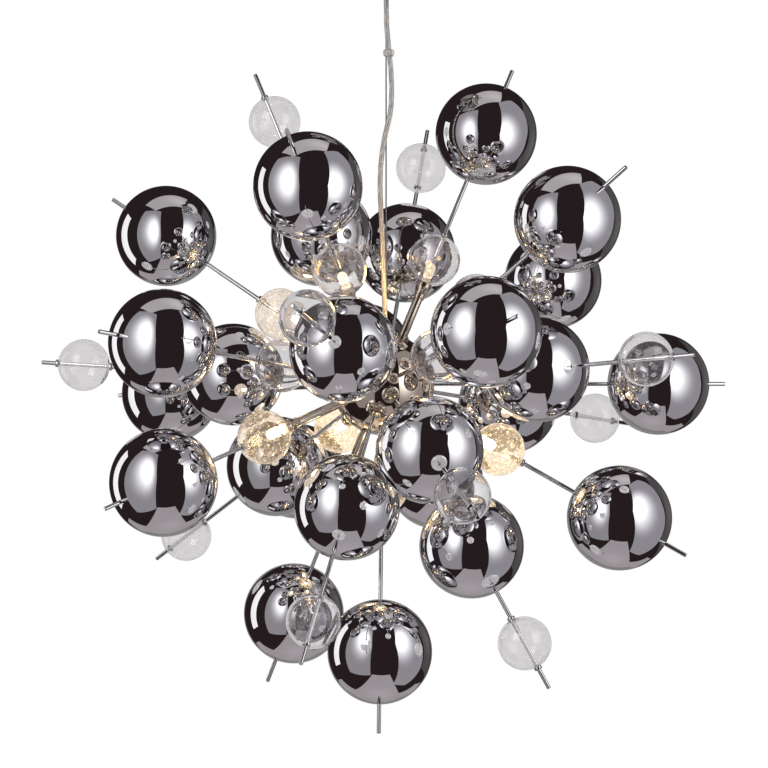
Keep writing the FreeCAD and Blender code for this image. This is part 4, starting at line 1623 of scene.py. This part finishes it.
@dataclass(frozen=True)
class Upright(Card):
    """A card that stands on the line from near to far: share along the line, then height."""

    near: Point = (0.0, 0.0)
    far: Point = (1.0, 0.0)

    def corner(self, point: Point) -> Vector:
        """Where a share along the line and a height lie."""
        along = [start + (end - start) * point[0] for start, end in zip(self.near, self.far)]
        return Vector((*along, point[1]))


@dataclass(frozen=True)
class Level(Card):
    """A card that lies level at one height: X, then Y."""

    height: float = 0.0

    def corner(self, point: Point) -> Vector:
        """Where an X and a Y lie."""
        return Vector((*point, self.height))


class LampKind(Enum):
    """The kinds of lamp that light the studio."""

    SQUARE = "AREA"
    POINT = "POINT"


@dataclass(frozen=True)
class StudioLamp:
    """A lamp that the camera and the mirrors don't see."""

    name: str
    kind: LampKind
    place: Place
    size: float
    power: float
    colour: Colour = (1.0, 1.0, 1.0)

    def hang(self) -> None:
        """Add the lamp, pointed at the hub."""
        light = bpy.data.lights.new(self.name, self.kind.value)
        light.color = self.colour
        light.energy = self.power
        if self.kind is LampKind.SQUARE:
            light.shape = "SQUARE"
            light.size = self.size
        else:
            light.shadow_soft_size = self.size
        made = add_object(self.name, light)
        made.location = self.place
        made.rotation_euler = (HUB_CENTRE - made.location).to_track_quat("-Z", "Y").to_euler()
        made.visible_glossy = False
        made.visible_camera = False


@dataclass
class Studio:
    """The pale floor, the soft light, the white world and the cards that the chrome reflects."""

    floor_height: float = -2.3
    floor_half: float = 6.0
    floor_light: float = 0.33
    world_light: float = 0.55
    sensor: float = 36.0
    camera_x: float = -2.03 * MM
    camera_distance: float = 2.906
    width_at_hub: float = 0.74766
    sight: float = 50.0
    bounces: int = 20
    glossy_bounces: int = 10
    glass_bounces: int = 16
    room_radius: float = 3.6
    room_rings: int = 16
    room_colour: Colour = (0.024, 0.016, 0.017)
    cards: tuple[Card, ...] = (
        Upright("left_softbox", ((-0.1, 0.1), (0.17, -1.45), (1.05, -0.8), (1.05, 0.87), (0.13, 1.87)),
                (0.33, 0.315, 0.34), (2.3, 2.3, 2.35), (0.44, 0.30), (0.70, 1.12),
                near=(-0.445, -1.300), far=(-0.800, -0.280)),
        Upright("right_softbox", ((0.0, 0.15), (0.36, -2.1), (0.98, -1.63), (1.08, -0.75), (1.0, 0.1), (1.2, 0.95),
                                  (1.18, 1.6), (0.42, 2.0)),
                (0.35, 0.335, 0.365), (2.2, 2.2, 2.25), (0.22, 0.20), (0.72, 1.15),
                near=(0.640, -0.950), far=(1.036, 0.229)),
        Upright("left_strip", ((0.0, -0.68), (1.0, -0.68), (1.0, 0.70), (0.0, 0.70)),
                (1.2, 1.18, 1.2), (1.3, 1.3, 1.3), near=(-1.310, 0.165), far=(-1.150, 0.570)),
        Upright("backdrop", ((0.0, -1.62), (1.0, -1.62), (1.0, 0.35), (0.0, 0.35)),
                (0.26, 0.25, 0.25), (0.34, 0.33, 0.33), (0.5, -0.6), (0.6, 1.2), near=(-0.75, 1.5), far=(0.6, 1.5)),
        Upright("right_wall", ((0.0, -1.0), (1.0, -1.0), (1.0, 1.3), (0.0, 1.3)),
                (0.09, 0.083, 0.085), (0.15, 0.14, 0.14), (0.5, 0.0), (0.8, 1.0), near=(1.75, 0.70), far=(1.00, 1.75)),
        Level("ceiling_card", ((-0.9, -1.0), (0.86, -0.30), (0.72, 0.85), (-1.4, 0.0)),
              (0.50, 0.47, 0.475), (0.66, 0.62, 0.62), (0.5, 0.1), (1.3, 0.9), height=1.9),
        Level("floor_paper", ((-0.49, -1.38), (0.66, -1.30), (0.60, 0.55), (1.35, 1.3), (1.5, 2.7), (-1.7, 2.6),
                              (-1.75, 1.3), (-0.85, 0.55)),
              (0.42, 0.385, 0.40), (0.50, 0.455, 0.475), (0.0, 0.2), (1.0, 1.2), height=-1.62),
    )

    lamps: tuple[StudioLamp, ...] = (
        StudioLamp("key lamp", LampKind.SQUARE, (-1.6, -1.8, 0.9), 1.4, 22.0),
        StudioLamp("fill lamp", LampKind.SQUARE, (1.9, -1.2, 0.3), 1.6, 12.0),
        # The warm light that the bulbs throw on the cable's lower end.
        StudioLamp("bulb light", LampKind.POINT, (13 * MM, -58 * MM, -340 * MM), 20 * MM, 0.5, (1.0, 0.56, 0.16)),
    )

    def world(self) -> None:
        """A white world behind the object, and softer where it lights the object."""
        world = bpy.data.worlds.new("studio")
        bpy.context.scene.world = world
        world.use_nodes = True
        shader = Shader(world.node_tree)
        path = world.node_tree.nodes.new("ShaderNodeLightPath")
        camera, glossy, through = (Signal(shader, path.outputs[name]) for name in (
            "Is Camera Ray", "Is Glossy Ray", "Is Transmission Ray"))
        seen = camera.maths("MAXIMUM", camera, camera.maths("MAXIMUM", glossy, through))
        soft, white = (shader.node("ShaderNodeBackground", values={"Color": opaque((1, 1, 1)), "Strength": strength})
                       for strength in (self.world_light, 1.0))
        mixed = shader.node("ShaderNodeMixShader", values={0: seen, 1: soft, 2: white})
        shader.finish(mixed, "ShaderNodeOutputWorld")

    @staticmethod
    def only_reflected(card: bpy.types.Object) -> None:
        """Make a card show in reflections and nowhere else.

        Args:
            card: the card's object.
        """
        card.visible_camera = False
        card.visible_diffuse = False
        card.visible_transmission = False
        card.visible_volume_scatter = False
        card.visible_shadow = False

    @staticmethod
    def glow(card: Card) -> bpy.types.Material:
        """A card's face: bright round its hot spot and greyer towards its ends.

        Args:
            card: the card.

        Returns:
            The face's material.
        """
        material = bpy.data.materials.new(card.name.replace("_", " "))
        material.use_nodes = True
        material.cycles.emission_sampling = "NONE"
        shader = Shader(material.node_tree)
        face = shader.node("ShaderNodeTexCoord", output=2)
        parts = shader.node("ShaderNodeSeparateXYZ", values={0: face})
        side, height = (Signal(shader, parts.socket.node.outputs[number]) for number in range(2))
        across = (side - card.hot[0]) * (1 / card.reach[0])
        up = (height - card.hot[1]) * (1 / card.reach[1])
        away = (across * across + up * up) ** 0.5
        colour = shader.blend((1 - away.above(0.5, 0.5)) ** 2.0, card.edge, card.centre)
        shader.finish(shader.node("ShaderNodeEmission", values={"Color": colour, "Strength": 1.0}))
        return material

    def card(self, card: Card) -> None:
        """Make one card, whose face coordinates are its own two coordinates.

        Args:
            card: the card.
        """
        mesh = bpy.data.meshes.new(card.name)
        mesh.from_pydata([HUB_CENTRE + card.corner(point) for point in card.outline], [],
                         [tuple(range(len(card.outline)))])
        layer = mesh.uv_layers.new(name="face")
        for entry, point in zip(layer.data, card.outline):
            entry.uv = point
        mesh.materials.append(self.glow(card))
        self.only_reflected(add_object(card.name, mesh))

    def reflections(self) -> None:
        """The dark room with its softboxes, strip, backdrop, ceiling card and floor paper."""
        form = bmesh.new()
        bmesh.ops.create_uvsphere(
            form, u_segments=2 * self.room_rings, v_segments=self.room_rings, radius=self.room_radius)
        room = plain_mesh(form)
        room.transform(Matrix.Translation(HUB_CENTRE))
        room.materials.append(self.glow(Card("dark_room", (), self.room_colour, self.room_colour)))
        self.only_reflected(add_object("dark_room", room))
        for card in self.cards:
            self.card(card)

    def floor(self) -> None:
        """The plain pale floor."""
        half = self.floor_half
        mesh = bpy.data.meshes.new("floor")
        corners = [(-half, -half), (half, -half), (half, half), (-half, half)]
        mesh.from_pydata([(x, y, self.floor_height) for x, y in corners], [], [(0, 1, 2, 3)])
        pale = Moulded("pale floor", "", colour=(0.86, 0.86, 0.86), shadow=(0.84, 0.84, 0.84), roughness=0.8,
                       lit=self.floor_light)
        mesh.materials.append(pale.material())
        floor = add_object("floor", mesh)
        floor.visible_glossy = False

    def camera(self) -> None:
        """The camera at the photograph's angle, level with the hub."""
        data = bpy.data.cameras.new("camera")
        data.sensor_width = self.sensor
        data.lens = self.sensor * self.camera_distance / self.width_at_hub
        data.clip_end = self.sight
        made = add_object("camera", data)
        made.location = (self.camera_x, -self.camera_distance, HUB_CENTRE.z)
        made.rotation_euler = (QUARTER, 0, 0)
        bpy.context.scene.camera = made

    def build(self) -> None:
        """Make the whole studio."""
        scene = bpy.context.scene
        scene.view_settings.view_transform = "Standard"
        scene.cycles.max_bounces = self.bounces
        scene.cycles.glossy_bounces = self.glossy_bounces
        scene.cycles.transmission_bounces = self.glass_bounces
        self.camera()
        self.world()
        self.floor()
        self.reflections()
        for lamp in self.lamps:
            lamp.hang()


def main() -> None:
    """Build the pendant's looks and its studio."""
    logging.basicConfig(level=logging.INFO, format="%(name)s %(message)s")
    lamps = [Arm.of(row) for row in LAMP_ARM_SHARES]
    outer = [Arm.of(row) for row in OUTER_CHROME_ARM_SHARES]
    inner = [Arm.of(row) for row in INNER_CHROME_ARM_SHARES]
    Studio().build()
    Suspension().build()
    spread = SpreadTree()
    glass, rods = Glasswork(spread), Rodwork(spread)
    glass.build(outer, inner)
    rods.build([*outer, *inner], lamps)
    for number, (arm, share) in enumerate(zip(lamps, LAMP_GLOW_SHARES), start=1):
        Lamp(number, arm, glass, rods, share).build()
    Hub().build()
    Canopy().build()
    KeptNodes().build()


if __name__ == "__main__":
    main()
